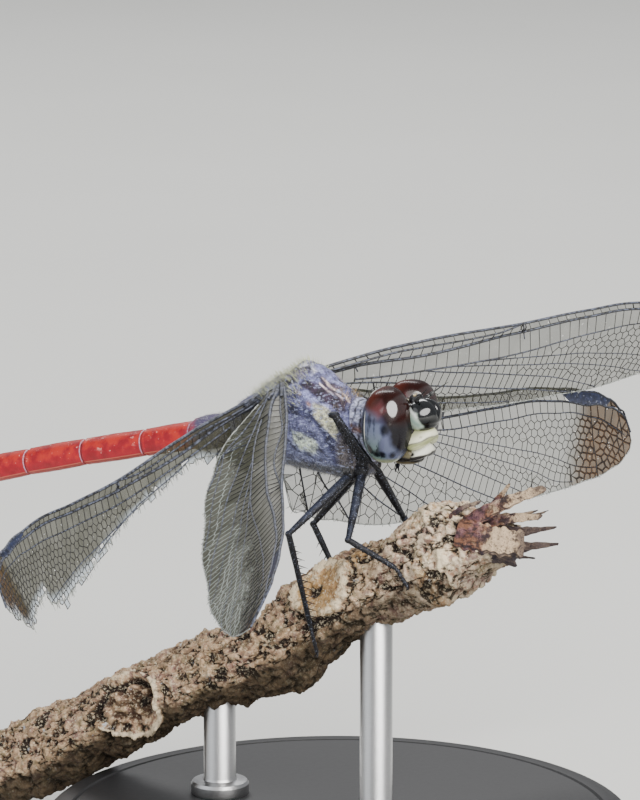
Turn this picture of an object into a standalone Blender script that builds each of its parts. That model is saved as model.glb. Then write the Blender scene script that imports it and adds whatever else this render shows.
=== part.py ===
"""Life-size dragonfly, a male Asiatic bloodtail, gripping a short broken twig on a plain display stand.

The insect faces +X, its left side is +Y and +Z is up. The origin is the centre of the base's underside.
Lengths below are millimetres unless a name says otherwise, and angles are degrees.
"""

import math

import bmesh
import bpy
import numpy as np
from mathutils import Matrix, Vector

MM = 0.001
LEFT = 1
RIGHT = -1
CUT_GAP = 0.05  # thin cut left between two neighbouring solids

# Stand
BASE_RADIUS = 20.0
BASE_THICKNESS = 5.0
BASE_EDGE_ROUND = 0.8
BODY_HEIGHT = 31.5  # height of the insect's own reference point over the surface it stands on
BODY_SET_BACK = 3.0  # how far that point lies behind the middle of the base
ROD_RADIUS = 1.1
ROD_PLACES = (-6.5, 6.0)  # where the two rods stand along X

# Perch: the twig's centre line as (x, height) and its radius as (x, radius)
TWIG_LINE = ((-25.8, -27.7), (-16.4, -22.7), (-8.1, -18.3), (-0.4, -14.8), (3.5, -11.9), (8.0, -9.2), (14.3, -6.3),
             (16.8, -5.6))
TWIG_RADIUS = ((-25.8, 2.2), (-15.5, 2.3), (-8.0, 2.45), (0.0, 2.6), (8.0, 2.75), (13.6, 2.5), (16.8, 1.0))
TWIG_SIDES = 14
TWIG_RINGS = 28
# lumps of the bark: place along X, angle round the twig from straight up towards the right side, spread, height
TWIG_LUMPS = (
    (4.6, 50.0, 1.7, 0.45),
    (1.6, 5.0, 1.8, 0.7),
    (-14.0, 75.0, 2.0, 0.5),
    (-1.0, 175.0, 1.6, 0.6),
    (-4.5, 10.0, 1.8, 0.5),
    (9.6, 150.0, 1.5, 0.5),
    (11.2, 20.0, 1.6, 0.4),
    (-20.0, 200.0, 2.2, 0.4),
)
# bud scales at the broken end: root (x, y, height), tip (x, y, height), half width
BUD_SCALES = (
    ((14.6, -0.8, -4.4), (18.8, -0.8, -2.1), 1.0),
    ((13.9, 0.9, -4.1), (15.7, 0.9, -1.9), 0.7),
    ((15.6, -1.2, -5.9), (19.9, -2.0, -4.0), 0.8),
    ((14.6, 1.3, -4.9), (17.9, 1.8, -3.6), 0.9),
    ((15.2, -0.2, -7.3), (19.6, -0.4, -5.4), 1.1),
)

# Abdomen: length, slope below level and half height of each segment, and the half height at its rear joint
ABDOMEN_FRONT = (-5.05, -0.85)
ABDOMEN_SEGMENTS = (
    (1.0, 15.0, 1.18, 1.18),
    (2.3, 15.0, 1.25, 0.98),
    (4.5, 13.5, 0.98, 0.88),
    (5.1, 13.0, 0.92, 0.84),
    (4.9, 14.5, 0.92, 0.84),
    (4.6, 15.5, 0.93, 0.84),
    (4.0, 16.0, 0.92, 0.82),
    (2.7, 16.5, 0.88, 0.76),
    (1.9, 17.0, 0.80, 0.66),
    (1.0, 17.5, 0.66, 0.56),
)
ABDOMEN_WIDTH_TO_HEIGHT = 0.98
CERCUS_LENGTH = 1.9
EPIPROCT_LENGTH = 1.3

# Synthorax and prothorax rings: ridge (x, height), keel (x, height), half width
SYNTHORAX_RINGS = (
    ((-4.95, 0.35), (-4.95, -2.05), 1.05),
    ((-4.60, 1.15), (-4.30, -2.25), 1.50),
    ((-3.60, 2.05), (-3.20, -2.45), 1.95),
    ((-2.00, 3.15), (-1.50, -2.65), 2.30),
    ((-0.20, 4.00), (0.80, -2.80), 2.50),
    ((1.30, 4.40), (3.00, -3.00), 2.52),
    ((2.80, 3.50), (4.60, -3.00), 2.25),
    ((4.00, 2.60), (5.50, -2.60), 1.75),
    ((4.55, 1.75), (5.75, -2.05), 1.20),
)
PROTHORAX_RINGS = (
    ((4.10, 2.15), (5.50, -1.70), 1.25),
    ((4.75, 2.30), (5.60, -1.85), 1.55),
    ((5.30, 2.00), (5.95, -1.75), 1.45),
    ((5.75, 1.45), (6.15, -1.10), 0.95),
    ((6.20, 1.05), (6.30, -0.40), 0.55),
)

# Head
EYE_CENTRE = (7.82, 1.72, 1.22)
EYE_RADII = (1.62, 1.62, 2.52)
CAPSULE_RINGS = (
    ((6.42, 1.70), (6.42, -0.55), 0.90),
    ((6.90, 2.35), (6.85, -1.15), 1.35),
    ((7.80, 2.75), (7.80, -1.35), 1.30),
    ((8.90, 2.60), (8.90, -1.25), 1.20),
    ((9.35, 2.00), (9.35, -0.90), 0.95),
)
# face pieces: centre, radii
FRONS = ((9.55, 0.0, 1.80), (1.18, 1.38, 1.12))
VERTEX = ((9.05, 0.0, 2.75), (0.55, 0.55, 0.55))
CLYPEUS = ((9.45, 0.0, 0.30), (1.05, 1.45, 0.80))
LABRUM = ((9.40, 0.0, -0.78), (0.85, 1.20, 0.62))
LABIUM = ((8.50, 0.0, -1.38), (1.25, 1.35, 0.45))
ANTENNA_ROOT = (9.35, 0.62, 2.75)
ANTENNA_TIP = (10.70, 1.35, 3.90)
ANTENNA_RADIUS = 0.25

# Wings: edges as (part of the length, depth behind the straight front line, as a part of the length)
WING_THICKNESS = 0.5
FOREWING_LENGTH = 36.0
HINDWING_LENGTH = 33.7
FOREWING_FRONT = ((0.0, 0.0), (0.1, -0.010), (0.25, -0.016), (0.49, -0.010), (0.65, -0.012), (0.8, -0.003),
                  (0.9, 0.018), (0.96, 0.046), (1.0, 0.092))
FOREWING_REAR = ((0.0, 0.030), (0.05, 0.055), (0.12, 0.100), (0.25, 0.145), (0.4, 0.165), (0.62, 0.176),
                 (0.8, 0.166), (0.88, 0.150), (0.94, 0.130), (1.0, 0.092))
HINDWING_FRONT = ((0.0, 0.0), (0.1, -0.008), (0.25, -0.012), (0.45, -0.006), (0.6, -0.012), (0.79, -0.012),
                  (0.88, 0.008), (0.95, 0.045), (1.0, 0.105))
HINDWING_REAR = ((0.0, 0.045), (0.03, 0.130), (0.06, 0.205), (0.12, 0.245), (0.2, 0.255), (0.45, 0.240),
                 (0.6, 0.225), (0.75, 0.200), (0.85, 0.175), (0.92, 0.150), (1.0, 0.105))
# the right hindwing is worn: its hind edge is torn back to these depths, with straight runs between them
TORN_REAR = ((0.0, 0.045), (0.03, 0.120), (0.07, 0.135), (0.11, 0.085), (0.165, 0.055), (0.23, 0.040),
             (0.27, 0.048), (0.40, 0.062), (0.53, 0.092), (0.60, 0.118), (0.665, 0.126), (0.72, 0.140),
             (0.775, 0.136), (0.785, 0.108), (0.86, 0.133), (0.90, 0.156), (0.93, 0.148), (0.94, 0.120),
             (0.96, 0.128), (1.0, 0.105))
WING_COLUMNS = 24
TORN_COLUMNS = 40
WING_ROWS = 3
WING_TIP_CUT = 0.985  # the outermost column, short of the point where both edges meet
# pose of each wing: hinge, forward sweep, droop, pitch of the root, twist to the tip,
# curl out of the wing's plane to the tip, curl in its plane to the tip
WING_POSES = {
    "forewing_left": ((-0.6, 1.7, 3.15), 26.0, -6.0, 76.0, 0.0, -3.0, 10.0),
    "hindwing_left": ((-2.0, 1.7, 2.05), 13.5, 15.0, 81.0, 18.0, 4.0, -14.0),
    "forewing_right": ((-0.2, -1.7, 3.05), 29.0, 12.0, 18.0, 33.0, -3.0, -11.0),
    "hindwing_right": ((-2.2, -1.7, 2.05), -7.5, 15.5, 90.0, 24.0, 34.0, -11.0),
}

# Legs of one side: points of hip, knee, ankle and claw, given with y outwards from the middle plane
LEGS = {
    "foreleg_right": ((5.60, -1.0, -1.6), (4.40, -2.85, 1.65), (6.65, -1.95, -1.30), (7.00, -0.95, -2.35)),
    "midleg_right": ((5.10, -1.0, -2.3), (6.80, -4.90, -6.00), (9.40, -3.20, -7.90), (10.35, -3.15, -9.10)),
    "hindleg_right": ((4.20, -1.0, -2.6), (3.40, -6.80, -5.65), (2.85, -3.30, -12.60), (3.10, -2.75, -14.80)),
    "foreleg_left": ((5.60, 1.0, -1.6), (4.40, 2.85, 1.65), (6.65, 1.95, -1.30), (7.00, 0.95, -2.35)),
    "midleg_left": ((5.10, 1.0, -2.3), (5.50, 4.40, -6.60), (8.60, 3.15, -8.60), (9.50, 3.10, -10.20)),
    "hindleg_left": ((4.20, 1.0, -2.6), (-0.40, 2.30, -7.30), (2.40, 3.10, -13.20), (3.30, 2.80, -15.00)),
}
FORELEG_KNEE_SHIFT = (0.36, 0.42, 0.25)  # tibia folded beside the femur, clear of it
FEMUR_RADII = (0.42, 0.36, 0.27)
TIBIA_RADII = (0.26, 0.25)
TARSUS_RADII = (0.25, 0.25)
LEG_SIDES = 8
JOINT_GAP = 0.42  # tibia and tarsus start this far past the joint's point

BODY_SIDES = 18


def smooth_curve(stations):
    """Return a function that passes smoothly through (place, value) stations."""
    places = np.array([station[0] for station in stations])
    values = np.array([station[1] for station in stations])
    slopes = np.gradient(values, places)

    def value_at(place):
        low = int(np.clip(np.searchsorted(places, place) - 1, 0, len(places) - 2))
        span = places[low + 1] - places[low]
        part = (place - places[low]) / span
        start = values[low] + part * span * slopes[low]
        finish = values[low + 1] - (1.0 - part) * span * slopes[low + 1]
        blend = part * part * (3.0 - 2.0 * part)
        return float(start * (1.0 - blend) + finish * blend)

    return value_at


def make_collection(name):
    """Make a collection in the scene."""
    collection = bpy.data.collections.new(name)
    bpy.context.scene.collection.children.link(collection)
    return collection


def make_material(name, colour, roughness, metallic=0.0):
    """Make a Principled material with a colour, roughness and metallic value."""
    material = bpy.data.materials.new(name)
    material.use_nodes = True
    shader = material.node_tree.nodes["Principled BSDF"]
    shader.inputs["Base Color"].default_value = (*colour, 1.0)
    shader.inputs["Roughness"].default_value = roughness
    shader.inputs["Metallic"].default_value = metallic
    material.diffuse_color = (*colour, 1.0)
    return material


def add_object(name, bm, material, collection, parent, place):
    """Turn a bmesh drawn in millimetres about `place` into an object that stands at `place`."""
    bmesh.ops.scale(bm, vec=(MM, MM, MM), verts=bm.verts)
    bmesh.ops.recalc_face_normals(bm, faces=bm.faces)
    mesh = bpy.data.meshes.new(name)
    bm.to_mesh(mesh)
    bm.free()
    mesh.shade_smooth()
    mesh.set_sharp_from_angle(angle=math.radians(40.0))
    mesh.materials.append(material)
    body = bpy.data.objects.new(name, mesh)
    body.location = Vector(place) * MM
    body.parent = parent
    collection.objects.link(body)
    return body


def loft(rings):
    """Skin a row of rings of equal point counts, with flat ends."""
    bm = bmesh.new()
    loops = [[bm.verts.new(point) for point in ring] for ring in rings]
    sides = len(loops[0])
    for near, far in zip(loops, loops[1:]):
        for side in range(sides):
            following = (side + 1) % sides
            bm.faces.new((near[side], near[following], far[following], far[side]))
    bm.faces.new(loops[0])
    bm.faces.new(loops[-1])
    return bm


def body_ring(ridge, keel, half_width, origin, sides=BODY_SIDES, squareness=0.9):
    """Return an upright oval ring from a ridge point and a keel point of the middle plane."""
    top = Vector((ridge[0], 0.0, ridge[1]))
    bottom = Vector((keel[0], 0.0, keel[1]))
    middle = (top + bottom) / 2.0
    up = (top - bottom) / 2.0
    points = []
    for side in range(sides):
        angle = math.tau * side / sides
        across = math.copysign(abs(math.cos(angle)) ** squareness, math.cos(angle))
        along = math.copysign(abs(math.sin(angle)) ** squareness, math.sin(angle))
        point = middle + up * along + Vector((0.0, half_width * across, 0.0))
        points.append(point - Vector(origin))
    return points


def tube_ring(centre, direction, radius, sides, flatness=1.0):
    """Return a round ring square to a direction; flatness squeezes it across."""
    turn = direction.to_track_quat("Z", "Y")
    points = []
    for side in range(sides):
        angle = math.tau * side / sides
        flat = Vector((radius * math.cos(angle), radius * flatness * math.sin(angle), 0.0))
        points.append(centre + turn @ flat)
    return points


def tube(points, radii, sides, flatness=1.0):
    """Loft a tapering tube along points, with one radius at each."""
    rings = []
    last = len(points) - 1
    for index, point in enumerate(points):
        ahead = points[min(index + 1, last)]
        behind = points[max(index - 1, 0)]
        rings.append(tube_ring(point, (ahead - behind).normalized(), radii[index], sides, flatness))
    return loft(rings)


def cut_away(target, neighbours, cutters):
    """Cut a target back from its neighbours, leaving the thin gap between the solids."""
    for neighbour in neighbours:
        cutter = bpy.data.objects.new(f"{target.name}_cut_by_{neighbour.name}", neighbour.data)
        cutter.location = neighbour.location
        cutter.rotation_euler = neighbour.rotation_euler
        cutter.parent = neighbour.parent
        cutter.hide_render = True
        cutter.display_type = "WIRE"
        for source in neighbour.modifiers:
            copy_modifier(source, cutter)
        swell = cutter.modifiers.new("gap", "DISPLACE")
        swell.strength = CUT_GAP * MM
        swell.mid_level = 0.0
        cutters.objects.link(cutter)
        cut = target.modifiers.new(f"clear_of_{neighbour.name}", "BOOLEAN")
        cut.operation = "DIFFERENCE"
        cut.solver = "EXACT"
        cut.object = cutter


def copy_modifier(source, body):
    """Repeat a Solidify or Boolean modifier of one object on another."""
    copy = body.modifiers.new(source.name, source.type)
    if source.type == "SOLIDIFY":
        copy.thickness = source.thickness
        copy.offset = source.offset
    if source.type == "BOOLEAN":
        copy.operation = source.operation
        copy.solver = source.solver
        copy.object = source.object


class Builder:
    """Keeps the collections, the parent empty and the materials that the sub-parts share."""

    def __init__(self):
        self.parts = make_collection("dragonfly")
        self.cutters = make_collection("cutters")
        self.body_frame = bpy.data.objects.new("body_frame", None)
        self.body_frame.location = (-BODY_SET_BACK * MM, 0.0, BODY_HEIGHT * MM)
        self.parts.objects.link(self.body_frame)

    def add(self, name, bm, material, place=(0.0, 0.0, 0.0)):
        """Add a part of the insect or its perch, placed from the insect's reference point."""
        return add_object(name, bm, material, self.parts, self.body_frame, place)

    def cut(self, target, *neighbours):
        """Cut a part back from its neighbours."""
        cut_away(target, neighbours, self.cutters)


def build_ellipsoid(builder, name, centre, radii, material, segments=14, rows=9):
    """Add an oval solid from a sphere."""
    bm = bmesh.new()
    bmesh.ops.create_uvsphere(bm, u_segments=segments, v_segments=rows, radius=1.0)
    bmesh.ops.scale(bm, vec=radii, verts=bm.verts)
    return builder.add(name, bm, material, centre)


def build_lofted_body(builder, name, rings, material):
    """Add a solid of the middle plane from its ridge and keel stations."""
    origin = (rings[0][0][0], 0.0, (rings[0][0][1] + rings[0][1][1]) / 2.0)
    bm = loft([body_ring(ridge, keel, half_width, origin) for ridge, keel, half_width in rings])
    return builder.add(name, bm, material, origin)


def build_thorax(builder):
    """Add the synthorax and the prothorax."""
    synthorax = build_lofted_body(
        builder, "synthorax", SYNTHORAX_RINGS, make_material("thorax_bloom", (0.27, 0.29, 0.42), 0.75))
    prothorax = build_lofted_body(
        builder, "prothorax", PROTHORAX_RINGS, make_material("prothorax_bloom", (0.45, 0.48, 0.60), 0.75))
    builder.cut(prothorax, synthorax)
    return synthorax, prothorax


def build_head(builder):
    """Add the head capsule, both eyes and the pieces of the face."""
    capsule = build_lofted_body(
        builder, "head_capsule", CAPSULE_RINGS, make_material("capsule_black", (0.05, 0.05, 0.05), 0.5))
    eyes = []
    for side_name, side in (("left", LEFT), ("right", RIGHT)):
        centre = (EYE_CENTRE[0], side * EYE_CENTRE[1], EYE_CENTRE[2])
        eye = build_ellipsoid(builder, f"eye_{side_name}", centre, EYE_RADII,
                              make_material(f"eye_{side_name}_maroon", (0.16, 0.05, 0.05), 0.12), 20, 14)
        builder.cut(eye, capsule)
        eyes.append(eye)
    frons = build_ellipsoid(builder, "frons", *FRONS, make_material("frons_metallic", (0.02, 0.05, 0.07), 0.2, 0.6))
    builder.cut(frons, capsule, *eyes)
    vertex = build_ellipsoid(builder, "vertex", *VERTEX, make_material("vertex_black", (0.03, 0.03, 0.04), 0.25))
    builder.cut(vertex, capsule, frons, *eyes)
    clypeus = build_ellipsoid(builder, "clypeus", *CLYPEUS, make_material("clypeus_cream", (0.72, 0.72, 0.55), 0.45))
    builder.cut(clypeus, capsule, frons, *eyes)
    labrum = build_ellipsoid(builder, "labrum", *LABRUM, make_material("labrum_white", (0.80, 0.80, 0.72), 0.4))
    builder.cut(labrum, capsule, clypeus, *eyes)
    labium = build_ellipsoid(builder, "labium", *LABIUM, make_material("labium_tan", (0.35, 0.27, 0.16), 0.5))
    builder.cut(labium, capsule, clypeus, labrum, *eyes)
    antenna_black = make_material("antenna_black", (0.02, 0.02, 0.02), 0.4)
    for side_name, side in (("left", LEFT), ("right", RIGHT)):
        root = Vector((ANTENNA_ROOT[0], side * ANTENNA_ROOT[1], ANTENNA_ROOT[2]))
        reach = Vector((ANTENNA_TIP[0], side * ANTENNA_TIP[1], ANTENNA_TIP[2])) - root
        bm = tube([Vector(), reach * 0.5, reach], [ANTENNA_RADIUS] * 3, LEG_SIDES)
        antenna = builder.add(f"antenna_{side_name}", bm, antenna_black, root)
        builder.cut(antenna, frons, vertex)


def abdomen_ring(centre, slope, half_height, origin, sides=16):
    """Return an abdomen ring square to its centre line, which runs to -X and down by the slope."""
    lean = math.radians(slope)
    up = Vector((-math.sin(lean), 0.0, math.cos(lean)))
    points = []
    for side in range(sides):
        angle = math.tau * side / sides
        across = half_height * ABDOMEN_WIDTH_TO_HEIGHT * math.cos(angle)
        point = centre + up * (half_height * math.sin(angle)) + Vector((0.0, across, 0.0))
        points.append(point - origin)
    return points


def build_abdomen(builder, synthorax):
    """Add the ten segments of the abdomen and the three appendages at its end."""
    red = make_material("abdomen_scarlet", (0.62, 0.03, 0.04), 0.4)
    grey = make_material("abdomen_base_grey", (0.30, 0.27, 0.38), 0.7)
    place = Vector((ABDOMEN_FRONT[0] - CUT_GAP, 0.0, ABDOMEN_FRONT[1]))
    joint = ABDOMEN_SEGMENTS[0][2]
    for number, (length, slope, belly, rear) in enumerate(ABDOMEN_SEGMENTS, start=1):
        lean = math.radians(slope)
        back = Vector((-math.cos(lean), 0.0, -math.sin(lean)))
        stations = ((0.0, joint), (0.12, 0.5 * (joint + belly)), (0.5, belly), (0.88, 0.5 * (rear + belly)), (1.0, rear))
        solid_length = length - CUT_GAP
        rings = [abdomen_ring(place + back * solid_length * part, slope, half, place) for part, half in stations]
        segment = builder.add(f"abdomen_segment_{number:02d}", loft(rings), grey if number < 3 else red, place)
        if number == 1:
            builder.cut(segment, synthorax)
        place = place + back * length
        joint = rear
    across = Vector((0.0, 0.30, 0.0))
    drop = Vector((0.0, 0.0, 0.12))
    for side_name, side in (("left", LEFT), ("right", RIGHT)):
        points = [Vector(), back * CERCUS_LENGTH * 0.6 + across * side * 0.5, back * CERCUS_LENGTH]
        builder.add(f"cercus_{side_name}", tube(points, (0.25, 0.26, 0.16), LEG_SIDES), red,
                    place + across * side + drop)
    epiproct = tube([Vector(), back * EPIPROCT_LENGTH], (0.24, 0.16), LEG_SIDES)
    builder.add("epiproct", epiproct, red, place - drop * 2.6)


def wing_frames(pose, side, length, steps=60):
    """Return the straight front line's points and the chord direction at even steps out to the tip."""
    hinge, sweep, droop, pitch, twist, bend, curl = pose
    sweep, droop, pitch, twist, bend, curl = (math.radians(value) for value in (sweep, droop, pitch, twist, bend, curl))
    outward = Vector((math.sin(sweep) * math.cos(droop), side * math.cos(sweep) * math.cos(droop), -math.sin(droop)))
    backward = Vector((-1.0, 0.0, 0.0))
    backward = (backward - outward * backward.dot(outward)).normalized()
    upward = outward.cross(backward) * -side
    if upward.z < 0.0:
        upward = -upward
    points = [Vector()]
    chords = []
    spans = []
    for step in range(steps + 1):
        part = step / steps
        turn = pitch + twist * part
        chord = backward * math.cos(turn) - upward * math.sin(turn)
        normal = upward * math.cos(turn) + backward * math.sin(turn)
        lift = bend * part * part
        span = outward * math.cos(lift) - normal * math.sin(lift)
        swing = curl * part
        spans.append(span * math.cos(swing) + chord * math.sin(swing))
        chords.append(chord * math.cos(swing) - span * math.sin(swing))
        if step:
            points.append(points[-1] + (spans[-1] + spans[-2]) * (0.5 * length / steps))
    return points, chords


def wing_point(frames, part, depth, length):
    """Return the point at a part of the length out and a depth behind the front line."""
    points, chords = frames
    place = part * (len(points) - 1)
    low = min(int(place), len(points) - 2)
    rest = place - low
    line = points[low].lerp(points[low + 1], rest)
    chord = chords[low].lerp(chords[low + 1], rest)
    return line + chord * depth * length


def build_wing(builder, name, length, front, rear, columns, material, synthorax):
    """Add one wing: a grid laid on its twisted plan form and thickened."""
    pose = WING_POSES[name]
    side = LEFT if name.endswith("left") else RIGHT
    frames = wing_frames(pose, side, length)
    bm = bmesh.new()
    bmesh.ops.create_grid(bm, x_segments=columns, y_segments=WING_ROWS, size=0.5)
    for vertex in bm.verts:
        part = WING_TIP_CUT * math.sin((vertex.co.x + 0.5) * math.pi / 2.0)
        near = front(part)
        depth = near + (rear(part) - near) * (vertex.co.y + 0.5)
        vertex.co = wing_point(frames, part, depth, length)
    wing = builder.add(name, bm, material, pose[0])
    sheet = wing.modifiers.new("thickness", "SOLIDIFY")
    sheet.thickness = WING_THICKNESS * MM
    sheet.offset = 0.0
    builder.cut(wing, synthorax)
    return wing


def straight_runs(stations):
    """Return a function with straight runs between (place, value) stations."""
    places = [station[0] for station in stations]
    values = [station[1] for station in stations]
    return lambda place: float(np.interp(place, places, values))


def build_wings(builder, synthorax):
    """Add the four wings; the right hindwing has a torn hind edge."""
    clear = make_material("wing_membrane", (0.55, 0.57, 0.50), 0.3)
    fore_front = smooth_curve(FOREWING_FRONT)
    fore_rear = smooth_curve(FOREWING_REAR)
    hind_front = smooth_curve(HINDWING_FRONT)
    hind_rear = smooth_curve(HINDWING_REAR)
    for side_name in ("left", "right"):
        build_wing(builder, f"forewing_{side_name}", FOREWING_LENGTH, fore_front, fore_rear, WING_COLUMNS,
                   clear, synthorax)
    build_wing(builder, "hindwing_left", HINDWING_LENGTH, hind_front, hind_rear, WING_COLUMNS, clear, synthorax)
    build_wing(builder, "hindwing_right", HINDWING_LENGTH, hind_front, straight_runs(TORN_REAR), TORN_COLUMNS,
               clear, synthorax)


def build_legs(builder, synthorax, prothorax, twig):
    """Add femur, tibia and tarsus of all six legs."""
    bloom = make_material("leg_bloom", (0.10, 0.11, 0.17), 0.6)
    black = make_material("leg_black", (0.02, 0.02, 0.025), 0.45)
    for name, joints in LEGS.items():
        hip, knee, ankle, claw = (Vector(joint) for joint in joints)
        side = LEFT if name.endswith("left") else RIGHT
        femur = builder.add(f"{name}_femur", tube([Vector(), (knee - hip) * 0.5, knee - hip], FEMUR_RADII, LEG_SIDES),
                            bloom, hip)
        builder.cut(femur, synthorax, prothorax)
        shin = (ankle - knee).normalized()
        if name.startswith("foreleg"):
            shift = Vector(FORELEG_KNEE_SHIFT)
            start = knee + Vector((shift.x, side * shift.y, shift.z))
        else:
            start = knee + shin * JOINT_GAP
        tibia = builder.add(f"{name}_tibia", tube([Vector(), ankle - start], TIBIA_RADII, LEG_SIDES), black, start)
        foot = (claw - ankle).normalized()
        start = ankle + foot * JOINT_GAP
        tarsus = builder.add(f"{name}_tarsus", tube([Vector(), claw - start], TARSUS_RADII, LEG_SIDES), black, start)
        builder.cut(tibia, twig)
        builder.cut(tarsus, twig)


def lump_height(place, angle):
    """Return how far the bark's lumps stand out at a place along X and an angle round the twig."""
    height = 0.0
    for lump_place, lump_angle, spread, lump in TWIG_LUMPS:
        turn = (angle - math.radians(lump_angle) + math.pi) % math.tau - math.pi
        off = math.hypot(place - lump_place, turn * 2.5)
        height += lump * math.exp(-(off / spread) ** 2)
    return height


def bark_ripple(place, angle):
    """Return the uneven outline of the bark as a small length."""
    long_wave = 0.16 * math.sin(3.0 * angle + 0.55 * place) + 0.10 * math.sin(2.0 * angle - 0.9 * place + 1.0)
    return long_wave + 0.08 * math.sin(5.0 * angle + 1.7 * place)


def build_perch(builder):
    """Add the twig and the bud scales at its broken end."""
    bark = make_material("bark", (0.42, 0.31, 0.20), 0.9)
    line = smooth_curve(TWIG_LINE)
    radius = smooth_curve(TWIG_RADIUS)
    first = TWIG_LINE[0][0]
    last = TWIG_LINE[-1][0]
    origin = Vector((first, 0.0, TWIG_LINE[0][1]))
    rings = []
    for ring in range(TWIG_RINGS):
        place = first + (last - first) * ring / (TWIG_RINGS - 1)
        rise = line(min(place + 0.5, last)) - line(max(place - 0.5, first))
        run = min(place + 0.5, last) - max(place - 0.5, first)
        along = Vector((run, 0.0, rise)).normalized()
        up = Vector((-along.z, 0.0, along.x))
        centre = Vector((place, 0.0, line(place))) - origin
        points = []
        for side in range(TWIG_SIDES):
            angle = math.tau * side / TWIG_SIDES
            reach = radius(place) + lump_height(place, angle) + bark_ripple(place, angle)
            points.append(centre + up * reach * math.cos(angle) + Vector((0.0, -reach * math.sin(angle), 0.0)))
        rings.append(points)
    twig = builder.add("perch_twig", loft(rings), bark, origin)
    for number, (root, tip, half_width) in enumerate(BUD_SCALES, start=1):
        root = Vector(root)
        reach = Vector(tip) - root
        bm = tube([Vector(), reach * 0.45, reach], (half_width * 0.8, half_width, 0.16), 10, 0.45)
        scale = builder.add(f"perch_bud_scale_{number}", bm, bark, root)
        builder.cut(scale, twig)
    return twig, line


def build_stand(builder, twig, line):
    """Add the round base and two rods that carry the twig."""
    steel = make_material("stand_steel", (0.62, 0.62, 0.62), 0.3, 1.0)
    black = make_material("stand_black", (0.03, 0.03, 0.03), 0.5)
    bm = bmesh.new()
    bmesh.ops.create_cone(bm, cap_ends=True, segments=48, radius1=BASE_RADIUS, radius2=BASE_RADIUS,
                          depth=BASE_THICKNESS)
    base = add_object("stand_base", bm, black, builder.parts, None, (0.0, 0.0, BASE_THICKNESS / 2.0))
    edge = base.modifiers.new("rounded_edge", "BEVEL")
    edge.width = BASE_EDGE_ROUND * MM
    edge.segments = 2
    edge.limit_method = "ANGLE"
    for number, place in enumerate(ROD_PLACES, start=1):
        foot = BASE_THICKNESS + CUT_GAP
        top = BODY_HEIGHT + line(place)
        bm = bmesh.new()
        bmesh.ops.create_cone(bm, cap_ends=True, segments=16, radius1=ROD_RADIUS, radius2=ROD_RADIUS, depth=top - foot)
        rod = add_object(f"stand_rod_{number}", bm, steel, builder.parts, None,
                         (place - BODY_SET_BACK, 0.0, (top + foot) / 2.0))
        builder.cut(rod, twig)


def main():
    """Build the whole model."""
    for old in list(bpy.data.objects):
        bpy.data.objects.remove(old)
    builder = Builder()
    twig, line = build_perch(builder)
    build_stand(builder, twig, line)
    synthorax, prothorax = build_thorax(builder)
    build_head(builder)
    build_abdomen(builder, synthorax)
    build_wings(builder, synthorax)
    build_legs(builder, synthorax, prothorax, twig)
    bpy.context.view_layer.update()


main()
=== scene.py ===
"""A life-size dragonfly on a twig: fine surfaces, venation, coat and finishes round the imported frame.

Lengths are millimetres from the insect's own reference point unless a name says otherwise.
"""

import sys

import logging
import math
from dataclasses import dataclass, field
from enum import Enum
from typing import Callable, Sequence

import bmesh
import bpy
import numpy as np
from mathutils import Matrix, Vector, noise


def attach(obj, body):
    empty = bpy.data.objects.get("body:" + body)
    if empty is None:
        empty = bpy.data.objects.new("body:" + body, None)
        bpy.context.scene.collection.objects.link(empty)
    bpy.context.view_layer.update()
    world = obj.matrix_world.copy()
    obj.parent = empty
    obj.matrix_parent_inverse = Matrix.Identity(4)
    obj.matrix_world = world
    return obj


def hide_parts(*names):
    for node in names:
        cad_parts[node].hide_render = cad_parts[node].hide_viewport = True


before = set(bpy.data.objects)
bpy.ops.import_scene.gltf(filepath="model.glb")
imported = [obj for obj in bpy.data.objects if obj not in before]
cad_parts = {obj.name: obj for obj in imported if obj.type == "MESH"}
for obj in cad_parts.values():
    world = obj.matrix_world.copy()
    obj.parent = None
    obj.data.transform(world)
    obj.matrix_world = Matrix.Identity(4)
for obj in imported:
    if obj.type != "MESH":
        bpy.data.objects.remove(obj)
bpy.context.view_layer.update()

MM = 0.001
BODY = np.array((-3.0, 0.0, 31.5))  # the insect's reference point over the middle of the base
LOG = logging.getLogger("dragonfly")

Array = np.ndarray
BMesh = bmesh.types.BMesh
Material = bpy.types.Material
Object = bpy.types.Object
Surface = Callable[[Array, Array], Array]
Colour = tuple[float, float, float]


class Side(Enum):
    """A side of the insect, with the sign of its Y axis."""

    LEFT = 1
    RIGHT = -1

    @property
    def word(self) -> str:
        """Return the side's word in node names."""
        return self.name.lower()


# ---- numbers and shapes ----


class Curve:
    """A smooth line through (place, value) stations, held level past its ends."""

    def __init__(self, stations: Sequence[tuple[float, float]]) -> None:
        """Keep the stations, whose places rise, and their slopes."""
        self.places, self.values = np.array(stations, float).T
        self.slopes = np.gradient(self.values, self.places)

    def __call__(self, place: Array | float) -> Array:
        """Return the value at each place."""
        place = np.clip(np.asarray(place, float), self.places[0], self.places[-1])
        low = np.clip(np.searchsorted(self.places, place) - 1, 0, len(self.places) - 2)
        span = self.places[low + 1] - self.places[low]
        part = (place - self.places[low]) / span
        start = self.values[low] + part * span * self.slopes[low]
        finish = self.values[low + 1] - (1.0 - part) * span * self.slopes[low + 1]
        blend = part * part * (3.0 - 2.0 * part)
        return start * (1.0 - blend) + finish * blend


def smooth_step(value: Array | float, low: float, high: float) -> Array:
    """Return 0 below low, 1 above high and a smooth rise between; a low above high falls instead."""
    part = np.clip((value - low) / (high - low), 0.0, 1.0)
    return part * part * (3.0 - 2.0 * part)


def bell(away: Array, width: float) -> Array:
    """Return a soft bump that is 1 where away is 0 and dies out past the width."""
    return np.exp(-(away / width) ** 2)


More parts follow.
